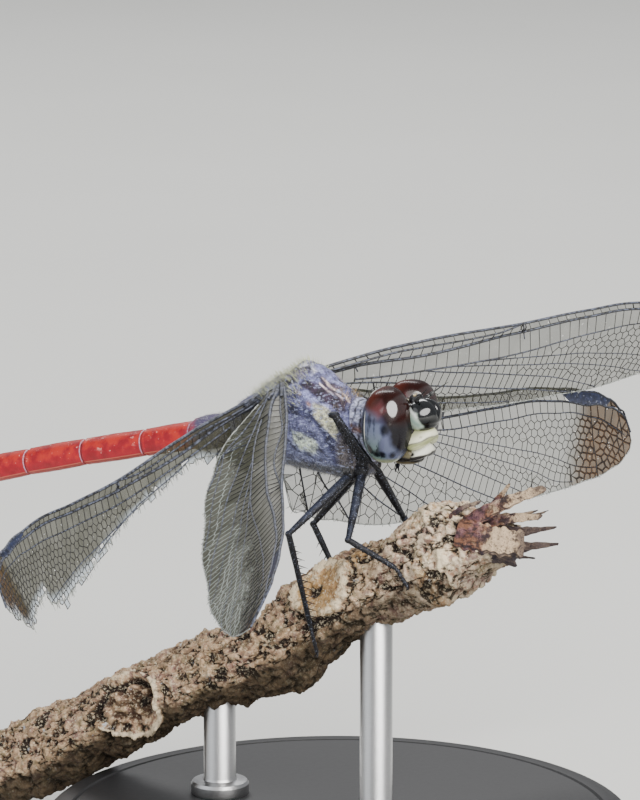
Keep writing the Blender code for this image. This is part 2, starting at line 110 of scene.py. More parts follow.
def ripple(points: Array, scale: float, seed: float = 0.0) -> Array:
    """Return an uneven value from -1 to 1 that wanders over the points.

    Args:
        points: one row of three coordinates a point.
        scale: how many waves go to a millimetre.
        seed: a shift that gives another pattern.

    Returns:
        One value a point.
    """
    x, y, z = (points * scale).T
    wave = np.sin(2.1 * x + 1.3 * z + seed) + np.sin(1.7 * y - 2.3 * x + 2.0 * seed)
    return (wave + np.sin(2.9 * z + 1.1 * y - seed)) / 3.0


def unit(vectors: Array) -> Array:
    """Return the vectors at length one."""
    return vectors / np.maximum(np.linalg.norm(vectors, axis=-1, keepdims=True), 1e-9)


def skin(surface: Surface, columns: int, rows: int, into: BMesh | None = None,
         kept: dict[str, Array] | None = None) -> BMesh:
    """Lay a grid on a surface and close its seam and poles.

    Args:
        surface: gives the points for two arrays of shares, along and around.
        columns: faces along.
        rows: faces around.
        into: a bmesh to add to, or None for a new one.
        kept: numbers that the surface works out for its points, kept as layers in place of the shares.

    Returns:
        The bmesh, whose vertices carry their shares in the layers "along" and "around", or the kept numbers.
    """
    bm = into or bmesh.new()
    floats = bm.verts.layers.float
    layers = [floats.get(name) or floats.new(name) for name in (kept or ("along", "around"))]
    made = bmesh.ops.create_grid(bm, x_segments=columns, y_segments=rows, size=0.5)["verts"]
    shares = np.array([vertex.co[:2] for vertex in made]) + 0.5
    points = surface(shares[:, 0], shares[:, 1])
    for vertex, point, *numbers in zip(made, points, *(kept.values() if kept else shares.T)):
        vertex.co = point
        for layer, number in zip(layers, numbers):
            vertex[layer] = number
    bmesh.ops.remove_doubles(bm, verts=made, dist=1e-5)
    return bm


def tube(points: Array, radii: Sequence[float], sides: int = 6, flatness: float = 1.0,
         up: Sequence[float] = (0, 0, 1), into: BMesh | None = None, relief: Surface | None = None) -> BMesh:
    """Skin a closed tube along points.

    Args:
        points: the centre line.
        radii: one radius a point.
        sides: faces round the tube.
        flatness: the height of its section as a part of its width.
        up: the direction that the section's height keeps near.
        into: a bmesh to add to, or None for a new one.
        relief: gives what is added to the radius at a point's index and an angle round it.

    Returns:
        The bmesh.
    """
    line = np.asarray(points, float)
    ahead = unit(np.gradient(line, axis=0))
    across = unit(np.cross(ahead, np.asarray(up, float)) + 1e-6)
    over = unit(np.cross(across, ahead))
    ends = np.r_[0, np.arange(len(line)), len(line) - 1]
    reach = np.r_[0.0, np.asarray(radii, float), 0.0]

    def surface(along: Array, around: Array) -> Array:
        """Return points of the tube."""
        stop = np.rint(along * (len(ends) - 1)).astype(int)
        index, turn, radius = ends[stop], around * math.tau, reach[stop]
        if relief is not None:
            radius = np.where(radius > 0.0, radius + relief(index, turn), 0.0)
        return (line[index] + across[index] * (radius * np.cos(turn))[:, None]
                + over[index] * (radius * flatness * np.sin(turn))[:, None])

    return skin(surface, len(ends) - 1, sides, into)


def oval(centre: Sequence[float], radii: Sequence[float], columns: int = 32, rows: int = 48,
         shape: Callable[[Array], Array] | None = None, into: BMesh | None = None) -> BMesh:
    """Skin an oval whose poles are at its left and right.

    Args:
        centre: its middle.
        radii: its reach along X, Y and Z.
        columns: faces from pole to pole.
        rows: faces around.
        shape: turns unit directions into shares of the reach, for lobes and grooves.
        into: a bmesh to add to, or None for a new one.

    Returns:
        The bmesh.
    """

    def surface(along: Array, around: Array) -> Array:
        """Return points of the oval."""
        lean, turn = along * math.pi, around * math.tau
        ways = np.stack([np.sin(lean) * np.cos(turn), -np.cos(lean), np.sin(lean) * np.sin(turn)], axis=1)
        reach = 1.0 if shape is None else shape(ways)[:, None]
        return np.asarray(centre) + ways * np.asarray(radii) * reach

    return skin(surface, columns, rows, into)


def places_of(bm: BMesh) -> Array:
    """Return the places of a bmesh's vertices."""
    return np.array([vertex.co[:] for vertex in bm.verts])


def push(bm: BMesh, height: Callable[[Array], Array]) -> None:
    """Move every vertex out along its normal by a height in millimetres worked out from its place."""
    bmesh.ops.recalc_face_normals(bm, faces=bm.faces)
    bm.normal_update()
    for vertex, lift in zip(bm.verts, height(places_of(bm))):
        vertex.co += vertex.normal * float(lift)


def warp(bm: BMesh, move: Callable[[Array], Array]) -> BMesh:
    """Move every vertex to the place that a function gives for it, and return the bmesh."""
    for vertex, place in zip(bm.verts, move(places_of(bm))):
        vertex.co = place
    return bm


def shade(red: int, green: int, blue: int) -> Colour:
    """Return a colour for the shaders from its strengths of 0 to 255 as the eye sees them."""
    return tuple((part / 255.0) ** 2.2 for part in (red, green, blue))


# ---- markings ----


@dataclass(frozen=True)
class Marking:
    """A coloured mark, drawn in the side view (x, height) or the top view (x, distance from the middle)."""

    colour: tuple[int, int, int]  # strengths of 0 to 255 as the eye sees them
    outline: tuple[tuple[float, float], ...]
    width: float = 0.0  # half width of a line; 0 fills the outline
    soft: float = 0.12  # reach of its soft edge
    strength: float = 1.0
    from_top: bool = False
    uneven: float = 0.08

    def cover(self, points: Array) -> Array:
        """Return how far the mark covers each point, from 0 to 1."""
        spot = np.stack([points[:, 0], np.abs(points[:, 1]) if self.from_top else points[:, 2]], axis=1)
        spot = spot + self.uneven * np.stack([ripple(points, 2.2, 1.0), ripple(points, 2.6, 4.0)], axis=1)
        corners = np.array(self.outline)
        ends = corners[1:] if self.width else np.roll(corners, -1, axis=0)
        away, inside = np.full(len(spot), 1e9), np.zeros(len(spot), bool)
        for start, stop in zip(corners, ends):
            run = stop - start
            part = np.clip(((spot - start) @ run) / max(float(run @ run), 1e-9), 0.0, 1.0)
            away = np.minimum(away, np.linalg.norm(spot - start - part[:, None] * run, axis=1))
            rises = (start[1] > spot[:, 1]) != (stop[1] > spot[:, 1])
            slope = run[0] / (run[1] if abs(run[1]) > 1e-9 else 1e-9)
            inside ^= rises & (spot[:, 0] < start[0] + (spot[:, 1] - start[1]) * slope)
        away = away - self.width if self.width else np.where(inside, -away, away)
        return self.strength * smooth_step(away, self.soft, -self.soft)


def painted(points: Array, base: Array | Colour, marks: Sequence[Marking]) -> Array:
    """Return the colours of the points: the base with each mark laid over it in turn."""
    colours = np.array(np.broadcast_to(base, points.shape), float)
    for mark in marks:
        cover = mark.cover(points)[:, None]
        colours = colours * (1.0 - cover) + np.asarray(shade(*mark.colour)) * cover
    return colours


# ---- materials ----


class Value:
    """A shader number that takes part in Python sums."""

    def __init__(self, graph: "Graph", socket: bpy.types.NodeSocket) -> None:
        """Keep the graph and the output socket."""
        self.graph, self.socket = graph, socket

    def __add__(self, other: "Value | float") -> "Value":
        """Return the sum."""
        return self.graph.maths("ADD", self, other)

    def __sub__(self, other: "Value | float") -> "Value":
        """Return this less the other."""
        return self.graph.maths("SUBTRACT", self, other)

    def __rsub__(self, other: float) -> "Value":
        """Return the other less this."""
        return self.graph.maths("SUBTRACT", other, self)

    def __mul__(self, other: "Value | float") -> "Value":
        """Return the product."""
        return self.graph.maths("MULTIPLY", self, other)

    __radd__ = __add__
    __rmul__ = __mul__

    def step(self, low: float, high: float) -> "Value":
        """Return a smooth rise from 0 at low to 1 at high; a low above high falls instead."""
        floor, roof = sorted((low, high))
        rise = self.graph.out(
            "MapRange", {"Value": self, "From Min": floor, "From Max": roof}, interpolation_type="SMOOTHSTEP")
        return 1.0 - rise if low > high else rise

    def away(self, centre: float) -> "Value":
        """Return the distance from a centre."""
        return self.graph.maths("ABSOLUTE", self - centre)

    def near(self, centre: float, reach: float) -> "Value":
        """Return 1 at the centre, falling to 0 at the reach."""
        return self.away(centre).step(reach, 0.0)


Term = Value | float
Tone = Value | Colour


class Graph:
    """A material's nodes."""

    def __init__(self, name: str) -> None:
        """Start an empty material for a finish."""
        self.material = bpy.data.materials.new(name)
        self.material.use_nodes = True
        self.tree = self.material.node_tree
        self.tree.nodes.clear()

    def node(self, kind: str, sockets: dict[object, object], **settings: object) -> bpy.types.Node:
        """Make a node.

        Args:
            kind: the node's type without its ShaderNode prefix.
            sockets: numbers, colours or values for its inputs.
            settings: its options, set first.

        Returns:
            The node.
        """
        node = self.tree.nodes.new("ShaderNode" + kind)
        for key, option in settings.items():
            setattr(node, key, option)
        for key, value in sockets.items():
            socket = node.inputs[key]
            if isinstance(value, Value):
                self.tree.links.new(value.socket, socket)
            elif isinstance(value, tuple) and len(value) == 3 and socket.type == "RGBA":
                socket.default_value = (*value, 1.0)
            else:
                socket.default_value = value
        return node

    def out(self, kind: str, sockets: dict[object, object], output: int | str = 0,
            **settings: object) -> Value:
        """Return one output of a new node."""
        return Value(self, self.node(kind, sockets, **settings).outputs[output])

    def maths(self, operation: str, *terms: Term) -> Value:
        """Return a Math node's result."""
        return self.out("Math", dict(enumerate(terms)), operation=operation)

    def place(self, scale: Sequence[float] = (1.0, 1.0, 1.0)) -> Value:
        """Return the place on the insect in millimetres, stretched by a scale."""
        scale = np.asarray(scale, float)
        return self.out("Mapping", {"Vector": self.out("TexCoord", {}, "Object"), "Scale": tuple(scale / MM),
                                    "Location": tuple(-BODY * scale)})

    def axes(self, vector: Value) -> tuple[Value, ...]:
        """Return a vector's three numbers."""
        return tuple(Value(self, socket) for socket in self.node("SeparateXYZ", {0: vector}).outputs)

    def away_from(self, parts: Sequence[Value], centre: Colour) -> Value:
        """Return how far the place whose three numbers are given lies from a centre."""
        offset = self.out("VectorMath", {0: self.out("CombineXYZ", dict(enumerate(parts))), 1: centre},
                          operation="SUBTRACT")
        return self.out("VectorMath", {0: offset}, "Value", operation="LENGTH")

    def facing_up(self) -> Value:
        """Return the upward part of the surface's normal."""
        return self.axes(self.out("NewGeometry", {}, "Normal"))[2]

    def attribute(self, name: str, colour: bool = False) -> Value:
        """Return a number or a colour kept on the piece's vertices."""
        return self.out("Attribute", {}, "Color" if colour else "Fac", attribute_name=name)

    def noise(self, vector: Value, scale: float, detail: float = 3.0, roughness: float = 0.55) -> Value:
        """Return soft noise from 0 to 1 at a scale in waves to a millimetre."""
        return self.out(
            "TexNoise", {"Vector": vector, "Scale": scale, "Detail": detail, "Roughness": roughness}, "Fac")

    def cells(self, vector: Value, scale: float) -> Value:
        """Return the distance of a cell pattern at a scale in cells to a millimetre."""
        return self.out("TexVoronoi", {"Vector": vector, "Scale": scale}, "Distance", feature="F1")

    def mix(self, share: Term, low: Tone, high: Tone, blend: str = "MIX") -> Value:
        """Return the low colour turned towards the high colour by a share."""
        return self.out("Mix", {0: share, 6: low, 7: high}, 2, data_type="RGBA", blend_type=blend)

    def layers(self, ground: Tone, *coats: tuple[Term, Tone]) -> Tone:
        """Return a ground colour with coats of (share, colour) laid over it in turn."""
        for share, colour in coats:
            ground = self.mix(share, ground, colour)
        return ground

    def bump(self, height: Value, depth: float, strength: float = 1.0) -> Value:
        """Return a normal bent by a height whose full rise is a depth in millimetres."""
        return self.out("Bump", {"Height": height, "Distance": depth * MM, "Strength": strength}, "Normal")

    def surface(self, **inputs: object) -> Material:
        """Close the graph with a Principled shader.

        Args:
            inputs: its sockets, with underscores for spaces.

        Returns:
            The material.
        """
        shader = self.out("BsdfPrincipled", {key.replace("_", " "): value for key, value in inputs.items()})
        self.node("OutputMaterial", {"Surface": shader})
        return self.material


@dataclass(frozen=True)
class Piece:
    """A finished piece: its name, its slot in the record, which nothing here uses, and the CAD nodes that it
    stands for.
    """

    name: str
    slot: str
    nodes: tuple[str, ...] = ()
    crease: float = 50.0  # edges sharper than this many degrees stay sharp

    def finish(self, bm: BMesh, material: Material, origin: Array = BODY, turned_out: bool = True) -> Object:
        """Turn a bmesh in millimetres into the piece.

        Args:
            bm: the shape, which is used up.
            material: its finish.
            origin: the place of its reference point in the shared frame.
            turned_out: whether to turn its faces outwards first.

        Returns:
            The piece's object.
        """
        if turned_out:
            bmesh.ops.recalc_face_normals(bm, faces=bm.faces)
        bmesh.ops.transform(
            bm, matrix=Matrix.Scale(MM, 4) @ Matrix.Translation(Vector(origin)), verts=bm.verts)
        mesh = bpy.data.meshes.new(self.name)
        bm.to_mesh(mesh)
        bm.free()
        return self.place(mesh, material)

    def place(self, mesh: bpy.types.Mesh, material: Material) -> Object:
        """Put a finished mesh in the scene and tell the frame about it."""
        mesh.shade_smooth()
        mesh.set_sharp_from_angle(angle=math.radians(self.crease))
        mesh.materials.append(material)
        piece = bpy.data.objects.new(self.name, mesh)
        bpy.context.scene.collection.objects.link(piece)
        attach(piece, "root")
        if self.nodes:
            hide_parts(*self.nodes)
        LOG.info("%s: %d faces", self.name, len(mesh.polygons))
        return piece


def read(rows: bpy.types.bpy_prop_collection, name: str, width: int) -> Array:
    """Return a named number of every row of Blender data, as an array that many columns wide."""
    numbers = np.empty(len(rows) * width, np.int32 if name == "vertices" else np.float32)
    rows.foreach_get(name, numbers)
    return numbers.reshape(-1, width)


def body_places(piece: Object) -> Array:
    """Return a piece's vertices in millimetres from the insect's reference point."""
    return read(piece.data.vertices, "co", 3) / MM - BODY


def keep_colours(piece: Object, name: str, colours: Array) -> None:
    """Keep a colour on each of a piece's vertices."""
    layer = piece.data.attributes.new(name, "FLOAT_COLOR", "POINT")
    layer.data.foreach_set("color", np.c_[colours, np.ones(len(colours))].astype(np.float32).ravel())


def keep_numbers(piece: Object, name: str, numbers: Array) -> None:
    """Keep a number on each of a piece's vertices."""
    layer = piece.data.attributes.new(name, "FLOAT", "POINT")
    layer.data.foreach_set("value", np.asarray(numbers, np.float32))


# ---- wings ----


@dataclass(frozen=True)
class Vein:
    """A lengthwise vein, as (part of the wing's length, depth behind its front line), and what is below."""

    name: str
    stations: tuple[tuple[float, float], ...]
    radius: float = 0.05
    cell: float = 0.72  # length of a cell in the space behind the vein
    row: float = 0.66  # width of a row of cells there
    slant: float = 0.0  # how far the cross veins there lean
    below_front: bool = False  # whether the depth is counted from the front edge


@dataclass(frozen=True)
class WingPlan:
    """The outline and veins of a forewing or a hindwing, front to rear."""

    length: float
    nodus: float
    front: tuple[tuple[float, float], ...]
    rear: tuple[tuple[float, float], ...]
    veins: tuple[Vein, ...]
    triangle: tuple[tuple[float, float], ...]


ONE_ROW = 9.0  # a row of cells wider than any space, so that only one fits
RADIUS = 2  # the radius's place among a plan's veins
VEINS_END = 0.972  # the part of the length past which no vein parts the cells
STRIP_EDGE, DUST_EDGE = 0.008, 0.11  # how far behind the radius the front strip fades on the film and the net


def leading_veins(nodus: float, cell: float, slant: float) -> tuple[Vein, Vein, Vein]:
    """Return the costa, the subcosta and the radius, which run close together behind the front edge."""
    return (
        Vein("costa", ((0.0, 0.0), (1.0, 0.0)), 0.1, cell, ONE_ROW, slant, True),
        Vein("subcosta", ((0.0, 0.01), (0.04, 0.015), (0.2, 0.0175), (nodus - 0.05, 0.0165), (nodus, 0.001)),
             0.07, 0.86, ONE_ROW, -0.1, True),
        Vein("radius",
             ((0.0, 0.02), (0.05, 0.034), (0.12, 0.046), (nodus - 0.03, 0.046), (nodus + 0.06, 0.037),
              (0.66, 0.029), (0.79, 0.0265), (0.92, 0.024), (0.96, 0.015), (0.99, 0.004)), 0.105, 0.92,
             ONE_ROW, 0.15, True),
    )


TORN_REAR = (
    (0.0, 0.045), (0.03, 0.12), (0.07, 0.135), (0.11, 0.085), (0.165, 0.055), (0.23, 0.04), (0.27, 0.048),
    (0.4, 0.062), (0.53, 0.092), (0.6, 0.118), (0.665, 0.126), (0.72, 0.14), (0.775, 0.136), (0.785, 0.108),
    (0.86, 0.133), (0.9, 0.156), (0.93, 0.148), (0.94, 0.12), (0.96, 0.128), (1.0, 0.105))

FOREWING = WingPlan(
    36.0, 0.49,
    ((0.0, 0.0), (0.1, -0.01), (0.25, -0.016), (0.49, -0.01), (0.65, -0.012), (0.8, -0.003), (0.9, 0.018),
     (0.96, 0.046), (1.0, 0.092)),
    ((0.0, 0.03), (0.05, 0.055), (0.12, 0.1), (0.25, 0.145), (0.4, 0.165), (0.62, 0.176), (0.8, 0.166),
     (0.88, 0.15), (0.94, 0.13), (1.0, 0.092)),
    (
        *leading_veins(0.49, 0.86, 0.55),
        Vein("radial sector",
             ((0.115, 0.04), (0.2, 0.05), (0.3, 0.056), (0.4, 0.06), (0.49, 0.06), (0.6, 0.05), (0.7, 0.044),
              (0.8, 0.044), (0.9, 0.06), (0.955, 0.084), (0.985, 0.104)), 0.065, 0.7, 0.62),
        Vein("second radial",
             ((0.4, 0.06), (0.5, 0.07), (0.6, 0.082), (0.7, 0.096), (0.8, 0.117), (0.88, 0.141),
              (0.905, 0.1435)), 0.05, 0.62, 0.6),
        Vein("intercalary",
             ((0.34, 0.058), (0.45, 0.078), (0.55, 0.094), (0.65, 0.112), (0.75, 0.136), (0.82, 0.158),
              (0.84, 0.161)), 0.048, 0.62, 0.58),
        Vein("third radial",
             ((0.27, 0.054), (0.35, 0.074), (0.45, 0.097), (0.55, 0.121), (0.65, 0.151), (0.71, 0.174)), 0.05,
             0.62, 1.6),
        Vein("media",
             ((0.005, 0.016), (0.05, 0.034), (0.115, 0.048), (0.16, 0.057), (0.2, 0.067), (0.3, 0.094),
              (0.4, 0.118), (0.5, 0.141), (0.58, 0.16), (0.65, 0.1755)), 0.06, 0.66, 0.64),
        Vein("rear media", ((0.182, 0.118), (0.25, 0.127), (0.33, 0.141), (0.42, 0.157), (0.5, 0.1705)), 0.05,
             0.66, 0.6),
        Vein("anal",
             ((0.01, 0.024), (0.06, 0.046), (0.11, 0.066), (0.15, 0.09), (0.182, 0.118), (0.23, 0.134),
              (0.29, 0.152)), 0.06, 0.62, 0.66),
    ),
    ((0.16, 0.057), (0.195, 0.0655), (0.182, 0.118)),
)

HINDWING = WingPlan(
    33.7, 0.447,
    ((0.0, 0.0), (0.1, -0.008), (0.25, -0.012), (0.45, -0.006), (0.6, -0.012), (0.79, -0.012), (0.88, 0.002),
     (0.94, 0.022), (0.975, 0.05), (0.993, 0.08), (1.0, 0.115)),
    ((0.0, 0.045), (0.03, 0.13), (0.06, 0.205), (0.12, 0.245), (0.2, 0.255), (0.45, 0.24), (0.6, 0.225),
     (0.75, 0.205), (0.85, 0.19), (0.93, 0.172), (0.975, 0.15), (0.993, 0.132), (1.0, 0.115)),
    (
        *leading_veins(0.447, 0.9, 0.5),
        Vein("radial sector",
             ((0.1, 0.04), (0.2, 0.05), (0.3, 0.056), (0.38, 0.06), (0.447, 0.061), (0.55, 0.052),
              (0.65, 0.044), (0.79, 0.04), (0.88, 0.055), (0.95, 0.086), (0.98, 0.108)), 0.065, 0.72, 0.64),
        Vein("second radial",
             ((0.37, 0.059), (0.47, 0.073), (0.57, 0.089), (0.67, 0.107), (0.77, 0.131), (0.86, 0.161),
              (0.89, 0.164)), 0.05, 0.62, 0.6),
        Vein("intercalary",
             ((0.31, 0.057), (0.42, 0.081), (0.52, 0.102), (0.62, 0.127), (0.72, 0.158), (0.8, 0.186),
              (0.82, 0.187)), 0.048, 0.62, 0.58),
        Vein("third radial",
             ((0.24, 0.053), (0.32, 0.077), (0.42, 0.106), (0.52, 0.137), (0.62, 0.173), (0.71, 0.2085)),
             0.05, 0.62, 1.7),
        Vein("media",
             ((0.005, 0.016), (0.05, 0.034), (0.1, 0.048), (0.15, 0.06), (0.25, 0.09), (0.35, 0.121),
              (0.45, 0.152), (0.55, 0.187), (0.64, 0.2185)), 0.06, 0.68, 0.66),
        Vein("rear media",
             ((0.118, 0.085), (0.18, 0.11), (0.26, 0.14), (0.34, 0.172), (0.42, 0.209), (0.48, 0.2385)), 0.05,
             0.66, 0.64),
        Vein("front cubitus",
             ((0.01, 0.03), (0.05, 0.052), (0.1, 0.075), (0.118, 0.085), (0.16, 0.115), (0.21, 0.15),
              (0.27, 0.19), (0.34, 0.228), (0.38, 0.2465)), 0.055, 0.64, 0.62),
        Vein("loop midrib",
             ((0.06, 0.057), (0.08, 0.082), (0.1, 0.115), (0.13, 0.158), (0.17, 0.198), (0.21, 0.226),
              (0.235, 0.2545)), 0.05, 0.62, 0.6),
        Vein("anal",
             ((0.035, 0.043), (0.05, 0.07), (0.065, 0.11), (0.085, 0.16), (0.11, 0.212), (0.13, 0.2475)),
             0.05, 0.6, 0.58),
    ),
    ((0.105, 0.049), (0.15, 0.06), (0.118, 0.085)),
)


class WingSheet:
    """The curved sheet that a wing lies on."""

    def __init__(self, pose: tuple, side: Side, plan: WingPlan, lead: float, steps: int = 60) -> None:
        """Work out the front line and the chords.

        Args:
            pose: hinge, sweep, droop, pitch, twist, curl out of the plane and curl in the plane.
            side: the wing's side.
            plan: the wing's plan.
            lead: the width of the leading strip as a part of the plan's.
            steps: how many steps the front line takes to the tip.
        """
        sweep, droop, pitch, twist, bend, curl = (math.radians(angle) for angle in pose[1:])
        outward = np.array([math.sin(sweep) * math.cos(droop), side.value * math.cos(sweep) * math.cos(droop),
                            -math.sin(droop)])
        backward = np.array([-1.0, 0.0, 0.0])
        backward = unit(backward - outward * (backward @ outward))
        upward = np.cross(outward, backward)
        upward = upward if upward[2] > 0.0 else -upward
        part = np.linspace(0.0, 1.0, steps + 1)[:, None]
        turn, lift, swing = pitch + twist * part, bend * part * part, curl * part
        chord = backward * np.cos(turn) - upward * np.sin(turn)
        normal = upward * np.cos(turn) + backward * np.sin(turn)
        span = outward * np.cos(lift) - normal * np.sin(lift)
        spans = span * np.cos(swing) + chord * np.sin(swing)
        chords = chord * np.cos(swing) - span * np.sin(swing)
        moves = (spans[1:] + spans[:-1]) * (0.5 * plan.length / steps)
        points = np.asarray(pose[0]) + np.vstack([np.zeros((1, 3)), np.cumsum(moves, axis=0)])
        self.rows = (points, chords, unit(np.cross(spans, chords)) * side.value)
        self.plan, self.lead, self.steps = plan, lead, steps
        self.front, self.rear = Curve(plan.front), Curve(plan.rear)

    def at(self, part: Array, depth: Array, height: Array | float = 0.0) -> Array:
        """Find places on the wing.

        Args:
            part: parts of the length.
            depth: depths behind the front line, as parts of the length.
            height: millimetres over the sheet.

        Returns:
            One point a row.
        """
        part, depth = np.asarray(part, float), np.asarray(depth, float)
        stop = np.clip(part, 0.0, 1.0) * self.steps
        low = np.minimum(stop.astype(int), self.steps - 1)
        rest = (stop - low)[:, None]
        line, chord, normal = (row[low] * (1.0 - rest) + row[low + 1] * rest for row in self.rows)
        lift = self.fluting(part, depth) + height
        return line + chord * (depth * self.plan.length)[:, None] + normal * lift[:, None]

    def fluting(self, part: Array, depth: Array) -> Array:
        """Return how far the sheet rises and falls over its leading veins and its fields."""
        behind = depth - self.front(part)
        fold = np.interp(behind / self.lead, (0.0, 0.0175, 0.046, 0.066, 0.1), (0.0, -0.17, 0.15, -0.06, 0.0))
        fade = smooth_step(part, 1.0, self.plan.nodus) * smooth_step(part, -0.02, 0.05)
        return fold * fade + 0.05 * np.sin(26.0 * part + 40.0 * depth) * smooth_step(behind, 0.04, 0.12)


def clipped(shape: list[tuple[float, float]], across: float, down: float,
            limit: float) -> list[tuple[float, float]]:
    """Cut a flat shape back to across * x + down * y <= limit.

    Args:
        shape: its corners in order.
        across: how far the limit's normal points along x.
        down: how far it points along y.
        limit: the largest sum that is kept.

    Returns:
        The corners that are left.
    """
    kept = []
    for index, (x, y) in enumerate(shape):
        before_x, before_y = shape[index - 1]
        over, before = across * x + down * y - limit, across * before_x + down * before_y - limit
        if (over > 0.0) != (before > 0.0):
            part = before / (before - over)
            kept.append((before_x + (x - before_x) * part, before_y + (y - before_y) * part))
        if over <= 0.0:
            kept.append((x, y))
    return kept


@dataclass
class Band:
    """The space between two neighbouring veins, filled with cells."""

    upper: Callable[[Array], Array]
    lower: Callable[[Array], Array]
    start: float
    stop: float
    vein: Vein
    length: float  # of the wing
    fine: float  # size of its cells as a part of the usual

    TIP = 0.95  # where the short bands of the tip start, with small upright cells
    REACH = 3.0  # half width of the square that a cell is cut from

    def seats(self, rng: np.random.Generator) -> Array:
        """Seat the cells in rows along the band.

        Args:
            rng: the source of the small shifts.

        Returns:
            Their middles in millimetres on the flat plan.
        """
        seats = []
        place = self.start * self.length
        while place < self.stop * self.length:
            part = place / self.length
            taper = (1.12 - 0.42 * part) * self.fine
            width = 0.62 if self.start > self.TIP else self.vein.row
            step = self.vein.cell * taper
            high, low = float(self.upper(part)) * self.length, float(self.lower(part)) * self.length
            rows = max(1, round((low - high) / (width * taper)))
            for row in range(rows):
                shift = step * (0.5 + 0.5 * (row % 2 if rows > 1 else 0)) + rng.normal(0.0, 0.07) * step
                drop = (row + 0.5 + (rng.normal(0.0, 0.07) if rows > 1 else 0.0)) / rows
                if low - high > 0.12:
                    seats.append((place + shift, high + (low - high) * drop))
            place += step
        return np.array(seats).reshape(-1, 2)

    def cells(self, rng: np.random.Generator) -> list[list[tuple[float, float]]]:
        """Cut the cells from the band.

        Args:
            rng: the source of the small shifts.

        Returns:
            Each cell's corners in millimetres on the flat plan.
        """
        seats = self.seats(rng)
        parts = np.clip(seats[:, 0] / self.length, self.start, self.stop)
        lines = [(edge(parts) * self.length, (edge(parts + 0.004) - edge(parts - 0.004)) / 0.008)
                 for edge in (self.upper, self.lower)]
        middle = 0.5 * (lines[0][0] + lines[1][0])
        lean = 0.0 if self.start > self.TIP else self.vein.slant
        flat = seats - np.stack([lean * (seats[:, 1] - middle), np.zeros(len(seats))], axis=1)
        made = []
        for index, (x, y) in enumerate(flat):
            shape = [(x + across * self.REACH, y + down * self.REACH)
                     for across, down in ((-1, -1), (1, -1), (1, 1), (-1, 1))]
            anchor = parts[index] * self.length
            for (height, slope), sign in zip(lines, (1.0, -1.0)):
                shape = clipped(
                    shape, sign * slope[index], -sign, sign * (slope[index] * anchor - height[index]))
            shape = clipped(shape, 1.0, 0.0, self.stop * self.length)
            shape = clipped(shape, -1.0, 0.0, -self.start * self.length)
            for other in np.argsort(np.hypot(*(flat - flat[index]).T))[1:15]:
                limit = 0.5 * float(flat[other] @ flat[other] - flat[index] @ flat[index])
                shape = clipped(shape, *(flat[other] - flat[index]), limit)
            if len(shape) > 2:
                made.append([(px + lean * (py - middle[index]), py) for px, py in shape])
        return made


